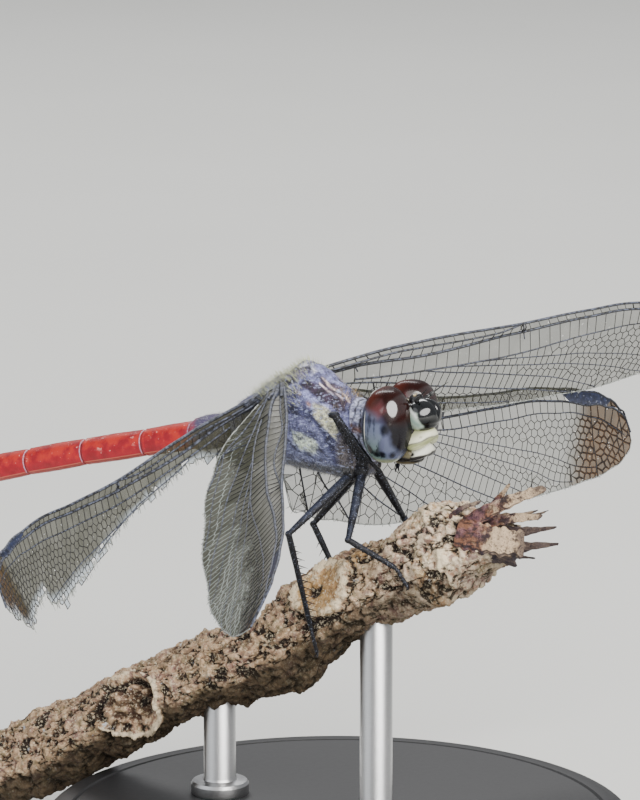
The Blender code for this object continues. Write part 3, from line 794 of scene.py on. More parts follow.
@dataclass
class Wing:
    """One wing: clear membrane, cross veins, lengthwise veins and the dark cell at its front edge."""

    name: str
    plan: WingPlan
    side: Side
    pose: tuple
    torn: bool = False
    brown_from: float = 0.95  # where the tip's brown starts
    seed: int = 1
    lead: float = 0.85  # width of the leading strip as a part of the plan's
    film: float = 0.5  # how smoky the membrane is, from 0 to 1
    cross_vein: float = 0.07
    dusty: bool = False  # whether the net of cross veins is silvery
    dark_cell: tuple[float, float] = (0.79, 0.92)  # where the dark cell at the front edge starts and stops
    fine: float = 1.0  # size of the net's cells as a part of the usual
    sector: float = 1.0  # how far back the radial sector lies as a part of the plan's
    sheet: WingSheet = field(init=False)

    def __post_init__(self) -> None:
        """Work out the sheet."""
        self.sheet = WingSheet(self.pose, self.side, self.plan, self.lead)

    def piece(self, word: str, bm: BMesh, finish: Material, turned_out: bool = True,
              **options: object) -> None:
        """Finish a piece of the wing that is named by a word."""
        Piece(f"{self.name}_{word}", "wing_membrane", **options).finish(bm, finish, turned_out=turned_out)

    def depth_of(self, vein: Vein) -> Callable[[Array], Array]:
        """Return a vein's depth as a function of the part of the length."""
        curve, front, rear = Curve(vein.stations), self.sheet.front, self.sheet.rear
        if vein.below_front:
            return lambda part: np.clip(curve(part) * self.lead + front(part), front(part), rear(part))
        squeeze = self.sector if vein.name == "radial sector" else 1.0
        return lambda part: np.clip(
            curve(part) * squeeze, front(part) + 0.048 * self.lead * smooth_step(part, 1.0, 0.8), rear(part))

    def hind_edge(self, part: Array) -> Array:
        """Return the depth of the hind edge, torn or whole."""
        return np.interp(part, *zip(*TORN_REAR)) if self.torn else self.sheet.rear(part)

    def bands(self) -> list[Band]:
        """Return the spaces between veins that are neighbours, front to rear."""
        stops = np.linspace(0.004, 0.996, 497)
        veins = self.plan.veins
        lines = [self.depth_of(vein) for vein in veins] + [self.sheet.rear]
        reach = [(0.0, 1.0) if vein.name == "costa"
                 else (vein.stations[0][0], min(vein.stations[-1][0], VEINS_END))
                 for vein in veins] + [(0.0, 1.0)]
        bands, running, last = [], {}, float(stops[0])
        for stop in [*stops, 2.0]:
            present = [index for index, (start, end) in enumerate(reach) if start <= stop <= end]
            pairs = set(zip(present, present[1:]))
            for upper, lower in [pair for pair in running if pair not in pairs]:
                bands.append(Band(lines[upper], lines[lower], running.pop((upper, lower)), last, veins[upper],
                                  self.plan.length, self.fine))
            for pair in pairs:
                running.setdefault(pair, last)
            last = stop
        return sorted(bands, key=lambda band: (band.start, band.vein.name))

    def flat_cells(self) -> BMesh:
        """Return the cells on the flat plan, in millimetres."""
        rng = np.random.default_rng(self.seed)
        bm = bmesh.new()
        length = self.plan.length
        for band in self.bands():
            for corners in band.cells(rng):
                x, y = np.mean(corners, axis=0) / length
                if (self.torn and y > self.hind_edge(x) + rng.normal(0.0, 0.004)) or self.in_stigma(x, y):
                    continue
                bm.faces.new([bm.verts.new((px, py, 0.0)) for px, py in corners])
        for vertex in bm.verts:
            part = vertex.co.x / length
            front, rear = (float(edge(part)) * length for edge in (self.sheet.front, self.sheet.rear))
            snap = 0.22 * float(smooth_step(part, 0.8, 0.95))
            vertex.co.y = (front if vertex.co.y < front + snap else rear if vertex.co.y > rear - snap
                           else vertex.co.y)
        bmesh.ops.remove_doubles(bm, verts=bm.verts, dist=0.035)
        bmesh.ops.dissolve_degenerate(bm, dist=0.02, edges=bm.edges)
        specks = [face for face in bm.faces if face.calc_area() < 0.01]
        bmesh.ops.delete(bm, geom=specks, context="FACES")
        return bm

    def in_strip(self, place: Vector, reach: float) -> float:
        """Return 1 in the strip in front of the radius, falling to 0 a reach behind it."""
        part, depth = place.x / self.plan.length, place.y / self.plan.length
        return float(smooth_step(depth - float(self.depth_of(self.plan.veins[RADIUS])(part)), reach, 0.0))

    def in_stigma(self, part: float, depth: float) -> bool:
        """Return whether a place lies in the dark cell."""
        start, stop = self.dark_cell
        return start + 0.018 < part < stop - 0.018 and depth < float(
            self.depth_of(self.plan.veins[RADIUS])(part))

    def lay(self, bm: BMesh) -> None:
        """Move flat vertices onto the wing's sheet."""
        warp(bm, lambda flat: self.sheet.at(*(flat[:, :2] / self.plan.length).T, flat[:, 2]))

    def membrane(self, flat: BMesh, finish: Material) -> None:
        """Make the clear membrane, with each cell's middle marked."""
        bm = flat.copy()
        layers = [bm.verts.layers.float.new(name) for name in ("heart", "shade", "film", "frayed", "strip")]
        before = set(bm.verts)
        bmesh.ops.inset_individual(bm, faces=bm.faces, thickness=0.11, use_even_offset=False)
        for vertex in bm.verts:
            part, depth = vertex.co.x / self.plan.length, vertex.co.y / self.plan.length
            fray = 0.01 + 0.016 * float(smooth_step(part, 0.45, 0.65))
            hem = float(np.interp(part, *zip(*TORN_REAR)))
            numbers = (
                0.0 if vertex in before else 1.0,
                smooth_step(part + 0.25 * (depth - 0.1), self.brown_from - 0.03, self.brown_from + 0.05),
                self.film,
                self.torn * smooth_step(depth, hem - fray, hem),
                self.in_strip(vertex.co, STRIP_EDGE) if self.dusty else 0.0)
            for layer, number in zip(layers, numbers):
                vertex[layer] = float(number)
        bmesh.ops.triangulate(bm, faces=[face for face in bm.faces if len(face.verts) > 4])
        self.lay(bm)
        self.piece("membrane", bm, finish, False, nodes=(self.name,))

    def cross_veins(self, flat: BMesh, finish: Material) -> None:
        """Make the net of cross veins round the cells."""
        bm = flat.copy()
        bm.normal_update()
        bmesh.ops.wireframe(bm, faces=bm.faces, thickness=self.cross_vein, offset=0.0, use_replace=True,
                            use_boundary=True, use_even_offset=False)
        if self.dusty:
            layer = bm.verts.layers.float.new("strip")
            for vertex in bm.verts:
                vertex[layer] = self.in_strip(vertex.co, DUST_EDGE)
        self.lay(bm)
        self.piece("cross_veins", bm, finish, False)

    def vein_tube(self, bm: BMesh, parts: Array, depths: Array, radii: Array | float,
                  height: float = 0.0) -> None:
        """Add one tube along the sheet."""
        tube(self.sheet.at(parts, depths, height), np.broadcast_to(radii, len(parts)), into=bm)

    def lengthwise_veins(self, finish: Material) -> None:
        """Make the lengthwise veins, the edges, the triangle and the root."""
        bm = bmesh.new()
        for vein in self.plan.veins:
            start, stop = (0.0, 0.998) if vein.name == "costa" else (vein.stations[0][0],
                                                                     vein.stations[-1][0])
            parts = np.linspace(start, stop, max(8, int((stop - start) * 90)))
            depths = self.depth_of(vein)(parts)
            stout = vein.name in ("costa", "radius")
            radii = vein.radius * (1.15 - 0.35 * parts if stout else 1.25 - 0.75 * parts)
            for run in self.whole_runs(parts, depths):
                self.vein_tube(bm, parts[run], depths[run], radii[run])
        if self.torn:
            parts = np.linspace(0.23, 0.56, 36)
            self.vein_tube(bm, parts, self.hind_edge(parts) - 0.003, 0.05)
        corners = np.array([*self.plan.triangle, self.plan.triangle[0]])
        for start, stop in zip(corners, corners[1:]):
            self.vein_tube(bm, *np.linspace(start, stop, 5).T, 0.06)
        nodus = self.plan.nodus
        front = float(self.sheet.front(nodus))
        for at, reach, radius in ((nodus, 0.046, 0.055), (nodus + 0.006, 0.07, 0.045), (0.112, 0.062, 0.05)):
            top = front + (0.0 if at > 0.2 else 0.04 * self.lead)
            self.vein_tube(bm, *np.linspace((at, top), (at + 0.006, front + reach * self.lead), 6).T, radius)
        parts = np.linspace(-0.012, 0.05, 9)
        for depth, radius in ((0.004, 0.22), (0.022, 0.2), (0.034, 0.15)):
            self.vein_tube(bm, parts, np.linspace(depth * 0.5, depth * 1.15, 9) * self.lead,
                           radius * (1.0 - 14.0 * np.abs(parts - 0.005)) + 0.05)
        self.piece("veins", bm, finish)

    def hem(self, finish: Material) -> None:
        """Make the pale hem along the hind edge, with frayed threads where it is torn."""
        bm = bmesh.new()
        parts = np.linspace(0.0, 0.998, 180)
        rng = np.random.default_rng(self.seed)
        jitter = rng.normal(0.0, 0.0022, 180) if self.torn else 0.0
        self.vein_tube(bm, parts, self.hind_edge(parts) + jitter, 0.028 + 0.022 * rng.random(180))
        threads, scale = (150, 1.0) if self.torn else (90, 0.35)
        for part, length, lean in zip(rng.uniform(0.03, 0.9, threads), rng.uniform(0.004, 0.016, threads),
                                      rng.normal(0.0, 0.004, threads)):
            depth = float(self.hind_edge(part))
            line = np.linspace((part, depth - 0.003), (part + lean, depth + length * scale), 4)
            self.vein_tube(bm, *line.T, np.linspace(0.035, 0.008, 4), float(rng.normal(0.0, 0.03)))
        self.piece("hem", bm, finish)

    def whole_runs(self, parts: Array, depths: Array) -> list[Array]:
        """Return the runs of a vein that the torn edge leaves."""
        indices = np.arange(len(parts))
        if not self.torn:
            return [indices]
        left = depths <= self.hind_edge(parts) + 0.003
        runs = np.split(indices, np.flatnonzero(np.diff(left.astype(int))) + 1)
        return [run for run in runs if left[run[0]] and len(run) > 2]

    def stigma(self, finish: Material) -> None:
        """Make the dark cell between costa and radius near the tip."""
        start, stop = self.dark_cell
        front, rear = (self.depth_of(self.plan.veins[index]) for index in (0, RADIUS))

        def surface(along: Array, around: Array) -> Array:
            """Return points of the plate, pointed a little at both ends."""
            part = start - 0.012 + (stop - start + 0.012) * along
            high, low = front(part), rear(part)
            round_off = smooth_step(along, -0.04, 0.3) * smooth_step(along, 1.04, 0.86)
            turn = around * math.tau
            reach = 0.5 - 0.5 * np.cos(turn)
            return self.sheet.at(
                part, high + (low - high) * reach * round_off, 0.055 * np.sin(turn) * round_off)

        self.piece("stigma", skin(surface, 28, 12), finish, crease=30.0)

    def build(self, finishes: "WingFinishes") -> None:
        """Build the whole wing.

        Args:
            finishes: the wing's materials.
        """
        flat = self.flat_cells()
        self.membrane(flat, finishes.membrane)
        self.cross_veins(flat, finishes.dusty_vein if self.dusty else finishes.cross_vein)
        flat.free()
        self.lengthwise_veins(finishes.vein)
        self.hem(finishes.hem)
        self.stigma(finishes.stigma)


class WingFinishes:
    """The materials that all four wings share."""

    def __init__(self) -> None:
        """Make them."""
        self.membrane = self.make_membrane()
        self.cross_vein = self.make_vein(
            "cross_vein_black", (0.006, 0.005, 0.005), (0.014, 0.014, 0.016), 0.5)
        self.dusty_vein = self.make_dusty_vein()
        self.vein = self.make_vein("vein_black", (0.007, 0.007, 0.01), (0.15, 0.17, 0.24), 0.42)
        self.hem = self.make_vein("wing_hem_silver", (0.16, 0.17, 0.16), (0.62, 0.64, 0.62), 0.45)
        self.stigma = self.make_stigma()

    def make_membrane(self) -> Material:
        """Return thin smoky film, brown at the tip with pale cell middles."""
        graph = Graph("wing_film")
        place = graph.place()
        heart, brown_tip, film, frayed, strip = (
            graph.attribute(name) for name in ("heart", "shade", "film", "frayed", "strip"))
        cloud = graph.noise(place, 0.6)
        speck = graph.noise(place, 5.0, 2.0, 0.7).step(0.7, 0.74)
        pale = heart.step(0.45, 1.0)
        brown = graph.layers(
            (0.058, 0.028, 0.012), (graph.noise(place, 1.1).step(0.35, 0.65), (0.018, 0.01, 0.008)),
            (pale * 0.45, (0.13, 0.085, 0.04)))
        colour = graph.layers(
            (0.052, 0.05, 0.026), (cloud, (0.028, 0.029, 0.018)), (brown_tip, brown),
            (strip * 0.75, (0.2, 0.195, 0.17)), (speck, (0.8, 0.81, 0.8)), (frayed * 0.85, (0.5, 0.55, 0.6)))
        alpha = film * (0.84 + 0.22 * cloud) + brown_tip * (0.72 - 0.34 * pale) + speck * 0.45 + frayed * 0.42
        return graph.surface(Base_Color=colour, Roughness=0.3 + 0.15 * cloud, Alpha=alpha, IOR=1.5,
                             Specular_IOR_Level=0.14, Normal=graph.bump(graph.noise(place, 2.2), 0.1, 0.6))

    def make_vein(self, name: str, dark: Colour, lit: Colour, roughness: float) -> Material:
        """Return vein cuticle whose upper faces turn towards the lit colour as painted light."""
        graph = Graph(name)
        grain = graph.noise(graph.place(), 4.0)
        # painted light: faces that look up take the lit colour in patches
        bloom_and_light = grain.step(0.35, 0.75) * graph.facing_up().step(-0.6, 0.5)
        return graph.surface(
            Base_Color=graph.mix(bloom_and_light * 0.75, dark, lit), Roughness=roughness + 0.25 * grain,
            Normal=graph.bump(grain, 0.02, 0.5))

    def make_dusty_vein(self) -> Material:
        """Return the net's cuticle: black in the front strip, silvery in patches behind it."""
        graph = Graph("cross_vein_dusty")
        place = graph.place()
        grain, patch = graph.noise(place, 4.0), graph.noise(place, 0.45)
        dust = (patch + (grain - 0.5) * 0.8 - graph.attribute("strip") * 0.9).step(0.14, 0.46)
        return graph.surface(
            Base_Color=graph.mix(dust * 0.9, (0.005, 0.005, 0.006), (0.27, 0.3, 0.28)), Roughness=0.5)

    def make_stigma(self) -> Material:
        """Return the blue-black of the dark cell."""
        graph = Graph("stigma_blue_black")
        grain = graph.noise(graph.place(), 3.0)
        speck = graph.noise(graph.place(), 5.0).step(0.6, 0.68) * 0.6
        colour = graph.layers(
            (0.006, 0.008, 0.017), (grain.step(0.3, 0.7), (0.026, 0.034, 0.078)), (speck, (0.26, 0.28, 0.36)))
        return graph.surface(
            Base_Color=colour, Roughness=0.35 + 0.2 * grain, Normal=graph.bump(grain, 0.02, 0.4))


WINGS = (
    Wing("forewing_left", FOREWING, Side.LEFT, ((-0.6, 1.7, 3.15), 26.0, -5.0, 69.0, 2.0, -3.0, 5.0),
         lead=0.52, film=0.62, seed=11),
    Wing("hindwing_left", HINDWING, Side.LEFT, ((-2.0, 1.7, 2.05), 13.5, 15.0, 81.0, 18.0, 4.0, -14.0),
         brown_from=0.83, lead=1.0, film=0.54, dark_cell=(0.8, 0.955), seed=12),
    Wing("forewing_right", FOREWING, Side.RIGHT, ((-0.2, -1.7, 3.05), 29.0, 12.0, 18.0, 33.0, -3.0, -11.0),
         lead=0.68, film=0.98, dusty=True, dark_cell=(0.785, 0.9), seed=13),
    Wing("hindwing_right", HINDWING, Side.RIGHT, ((-2.2, -1.7, 2.05), -7.5, 15.5, 90.0, 24.0, 34.0, -11.0),
         torn=True, brown_from=0.9, lead=0.45, film=0.9, cross_vein=0.072, fine=0.84, sector=0.6, seed=14))


# ---- coat ----


@dataclass(frozen=True)
class Pile:
    """A patch of the coat: where it grows, how thick, how long and which way it lies."""

    colour: Colour
    where: Callable[[Array], Array]  # density from 0 to 1 at each place
    length: float
    stand: float  # how far it stands off the skin, from 0 to 1
    lie: tuple[float, float, float] = (-1.0, 0.0, -0.5)
    marked: float = 0.6  # how far the hair takes on the skin's markings


@dataclass
class Coat:
    """Fine hair over a skin, as slim solid tufts."""

    name: str
    slot: str
    piles: tuple[Pile, ...]
    count: int
    radius: float = 0.013
    seed: int = 5

    SKIN_TONE = 0.16  # the strength of a skin's colour that leaves the hair's own as it is

    def tuft(self) -> tuple[Array, Array]:
        """Return one upright tuft of unit height: its vertices, and its faces of three corners."""
        bm = bmesh.new()
        bmesh.ops.create_cone(bm, cap_ends=False, segments=3, radius1=1.0, radius2=0.02, depth=1.0,
                              matrix=Matrix.Translation((0.0, 0.0, 0.5)))
        for height in (0.35, 0.7):
            bmesh.ops.bisect_plane(
                bm, geom=bm.verts[:] + bm.edges[:] + bm.faces[:], plane_co=(0, 0, height), plane_no=(0, 0, 1))
        bmesh.ops.remove_doubles(bm, verts=bm.verts, dist=0.05)
        bmesh.ops.recalc_face_normals(bm, faces=bm.faces)
        bmesh.ops.triangulate(bm, faces=bm.faces)
        bm.verts.index_update()
        verts = places_of(bm)
        faces = np.array([[vertex.index for vertex in face.verts] for face in bm.faces])
        bm.free()
        return verts, faces

    def grow(self, skin_piece: Object, unwrap: Callable[[Array], Array], material: Material) -> None:
        """Grow the coat on a skin.

        Args:
            skin_piece: the skin, whose faces carry the roots.
            unwrap: gives each root's place on a flat unwrap of the skin.
            material: the hair's finish, which reads the colours kept on it.
        """
        rng = np.random.default_rng(self.seed)
        mesh = skin_piece.data
        mesh.calc_loop_triangles()
        corners = read(mesh.loop_triangles, "vertices", 3)
        places, normals = body_places(skin_piece), read(mesh.vertices, "normal", 3)
        edges = places[corners[:, 1:]] - places[corners[:, :1]]
        areas = np.linalg.norm(np.cross(edges[:, 0], edges[:, 1]), axis=1)
        verts, faces = self.tuft()
        paint = (read(mesh.attributes["paint"].data, "color", 4) if "paint" in mesh.attributes
                 else np.ones((len(places), 4), np.float32))
        grown = []
        for pile in self.piles:
            picks = rng.choice(len(corners), self.count, p=areas / areas.sum())
            shares = rng.dirichlet((1.0, 1.0, 1.0), self.count)[:, :, None]
            roots = (places[corners[picks]] * shares).sum(axis=1)
            out = unit((normals[corners[picks]] * shares).sum(axis=1))
            below = (paint[corners[picks], :3] * shares).sum(axis=1)
            kept = rng.random(self.count) < pile.where(roots)
            roots, out, below = roots[kept], out[kept], below[kept]
            lie = np.asarray(pile.lie) + rng.normal(0.0, 0.28, roots.shape)
            lie = unit(lie - out * (lie * out).sum(axis=1, keepdims=True))
            length = pile.length * rng.uniform(0.6, 1.15, len(roots))
            tone = np.asarray(pile.colour) * rng.uniform(0.75, 1.2, (len(roots), 1))
            tone = tone * (1.0 - pile.marked) + tone * pile.marked * below / self.SKIN_TONE
            grown.append((roots, out, lie, length, np.full(len(roots), pile.stand), tone))
        roots, out, lie, length, stand, tone = (np.concatenate(column) for column in zip(*grown))
        rise = unit(out * (0.35 + 0.65 * stand)[:, None] + lie * (1.0 - 0.8 * stand)[:, None])
        across = unit(np.cross(rise, lie))
        over = np.cross(across, rise)
        wide, thick, tall = (column[None, :, None] for column in verts.T)
        bend = (0.35 * (1.0 - stand) * length)[:, None, None] * tall * tall
        points = (roots[:, None] + wide * self.radius * across[:, None] + thick * self.radius * over[:, None]
                  + rise[:, None] * length[:, None, None] * tall
                  + (lie - 0.4 * out)[:, None] * bend - out[:, None] * 0.01)
        count, size = len(roots), len(verts)
        mesh = bpy.data.meshes.new(self.name)
        flat = (faces[None] + (np.arange(count) * size)[:, None, None]).reshape(-1, 3)
        mesh.from_pydata(((points.reshape(-1, 3) + BODY) * MM).tolist(), [], flat.tolist())
        tufts = Piece(self.name, self.slot, crease=180.0).place(mesh, material)
        keep_colours(tufts, "tone", np.repeat(tone, size, axis=0))
        keep_numbers(tufts, "reach", np.tile(verts[:, 2], count))
        spots = unwrap(roots)[:, None] + 0.0015 * verts[None, :, :2] * (1.0 - 0.6 * verts[None, :, 2:])
        uv = mesh.uv_layers.new(name="OFBake")
        uv.data.foreach_set("uv", spots.reshape(-1, 2)[flat.ravel()].astype(np.float32).ravel())


def round_the_body(start: float, stop: float, height: float) -> Callable[[Array], Array]:
    """Return an unwrap of a skin that lies round a level line, along from start to stop at a height."""

    def unwrap(points: Array) -> Array:
        """Return places on the unwrap."""
        along = np.clip((points[:, 0] - start) / (stop - start), 0.01, 0.99)
        around = np.arctan2(points[:, 1], points[:, 2] - height) / math.tau + 0.5
        return np.stack([along, 0.01 + 0.98 * around], axis=1)

    return unwrap


def hair_finish() -> Material:
    """Return soft hair in the colour kept on each tuft, paler at the tip."""
    graph = Graph("fine_hair")
    colour = graph.mix(graph.attribute("reach") * 0.15, graph.attribute("tone", True), (0.75, 0.75, 0.72))
    return graph.surface(Base_Color=colour, Roughness=0.7, Sheen_Weight=0.3)


# ---- body pieces ----


def ringed(rings: Sequence[tuple], columns: int = 120, sides: int = 96, roof: float = 0.9) -> BMesh:
    """Skin a row of upright rings of the middle plane.

    Args:
        rings: ridge (x, height), keel (x, height) and half width of each.
        columns: faces along.
        sides: faces around.
        roof: the power of the rings' upper half, above 1 for a steeper roof.

    Returns:
        The bmesh, closed at both ends.
    """
    numbers = [(*ridge, *keel, half) for ridge, keel, half in rings]
    curves = [Curve(list(enumerate(column))) for column in zip(*numbers)]
    stops = np.r_[0.0, np.linspace(0.0, len(rings) - 1.0, columns - 1), len(rings) - 1.0]
    reach = np.r_[0.0, np.ones(columns - 1), 0.0]

    def surface(along: Array, around: Array) -> Array:
        """Return points of the skin."""
        index = np.rint(along * columns).astype(int)
        ridge_x, ridge_z, keel_x, keel_z, half = (curve(stops[index]) for curve in curves)
        cosine, sine = np.cos(around * math.tau), np.sin(around * math.tau)
        power = np.where(sine > 0.0, roof, 0.9)
        across = np.sign(cosine) * np.abs(cosine) ** power * reach[index]
        over = np.sign(sine) * np.abs(sine) ** power * reach[index]
        return np.stack([0.5 * (ridge_x + keel_x + (ridge_x - keel_x) * over), half * across,
                         0.5 * (ridge_z + keel_z + (ridge_z - keel_z) * over)], axis=1)

    return skin(surface, columns, sides)


def hump(points: Array, centre: Sequence[float], reach: Sequence[float] | float) -> Array:
    """Return a soft hump from 0 to 1 round a centre, the same on both sides of the body."""
    folded = points * (1.0, 0.0, 1.0) + np.abs(points) * (0.0, 1.0, 0.0)
    return np.exp(-(((folded - np.asarray(centre)) / np.asarray(reach)) ** 2).sum(axis=1))


THORAX_MARKS = (
    Marking((70, 62, 80), ((-4.9, 0.4), (-3.4, 2.0), (-1.4, 2.9), (0.6, 3.3), (1.4, 3.9), (1.2, 4.6),
                           (-5.0, 3.0)), soft=0.3, strength=0.75),
    Marking((46, 34, 52), ((1.1, 3.42), (2.1, 3.35), (2.9, 3.3), (4.12, 2.5), (4.4, 1.65), (3.87, 1.66),
                           (3.17, 2.12), (2.22, 2.58), (1.2, 3.1)), soft=0.1),
    Marking((58, 42, 60), ((2.3, 0.95), (2.9, 0.78), (3.5, 0.35)), 0.1, 0.1, from_top=True),
    Marking((226, 206, 196), ((2.25, 0.78), (3.2, 0.8), (4.2, 0.58)), 0.06, 0.07, from_top=True, uneven=0.04),
    Marking((208, 192, 200), ((2.3, 1.22), (3.0, 1.16), (3.9, 0.9)), 0.035, 0.04, from_top=True, uneven=0.03),
    Marking((44, 46, 74), ((0.2, 1.75), (1.4, 1.55), (2.67, 1.28), (3.3, 0.7), (3.75, -0.1), (4.25, -1.6)),
            0.36, 0.16),
    Marking((126, 130, 176), ((0.3, 3.0), (1.3, 2.75), (2.23, 2.44), (3.12, 2.03), (3.85, 1.55)), 0.05, 0.07),
    Marking((28, 26, 40), ((0.75, 2.75), (1.35, 2.05), (1.7, 1.75)), 0.05, 0.06),
    Marking((172, 172, 150), ((2.33, 2.05), (2.81, 2.17), (3.78, 1.41), (4.25, 0.39), (4.15, -0.1),
                              (3.71, 0.33), (3.07, 0.8), (2.53, 1.35)), soft=0.09),
    Marking((110, 118, 100), ((2.75, 1.85), (3.3, 1.25), (3.75, 0.6)), 0.03, 0.07, 0.8),
    Marking((138, 98, 72), ((1.98, 2.1), (2.15, 1.95)), 0.09, 0.12, 0.8),
    Marking((214, 198, 158), ((1.02, 2.74), (1.26, 2.62)), 0.06, 0.13, uneven=0.0),
    Marking((166, 178, 168), ((0.94, 0.18), (1.63, 0.16), (2.57, -0.12), (3.0, -0.71), (2.35, -1.22),
                              (1.49, -1.0), (1.03, -0.45)), soft=0.09),
    Marking((128, 140, 132), ((1.3, -0.1), (1.9, -0.5), (2.5, -0.75)), 0.03, 0.08, 0.8),
    Marking((164, 176, 196), ((1.02, -0.62), (1.5, -1.12), (2.3, -1.34), (2.95, -0.95)), 0.04, 0.06),
    Marking((30, 32, 58), ((0.25, -0.15), (0.75, -0.65), (1.21, -1.2), (2.28, -1.5), (2.8, -1.9)), 0.07,
            0.08),
    Marking((32, 34, 60), ((3.0, -0.9), (3.5, -1.3), (4.1, -1.7)), 0.07, 0.09),
    Marking((74, 68, 64), ((4.3, 0.2), (5.0, 0.9), (5.7, 0.1), (5.9, -2.3), (4.5, -2.5), (4.1, -1.4)),
            soft=0.22, strength=0.85),
    Marking((54, 57, 60), ((-3.8, -1.7), (0.0, -1.9), (2.6, -2.0), (5.0, -1.9), (5.6, -3.2), (-3.8, -3.2)),
            soft=0.25, strength=0.85),
    Marking((120, 124, 150), ((-3.2, 0.8), (-1.6, 1.1), (-0.6, 0.4), (-0.6, -1.0), (-2.6, -1.2)), soft=0.3,
            strength=0.5),
    Marking((20, 18, 24), ((-2.5, 2.25), (-1.9, 2.1), (-1.3, 2.2)), 0.16, 0.14),
    Marking((20, 18, 24), ((-0.9, 3.0), (-0.2, 3.15), (0.5, 3.3)), 0.15, 0.14),
    Marking((22, 20, 28), ((0.1, 3.85), (0.7, 4.12), (1.2, 4.02)), 0.1, 0.12, 0.9, uneven=0.25),
    Marking((206, 208, 220), ((0.5, 4.35), (1.1, 4.3), (1.7, 3.95)), 0.08, 0.12, 0.8, uneven=0.22))


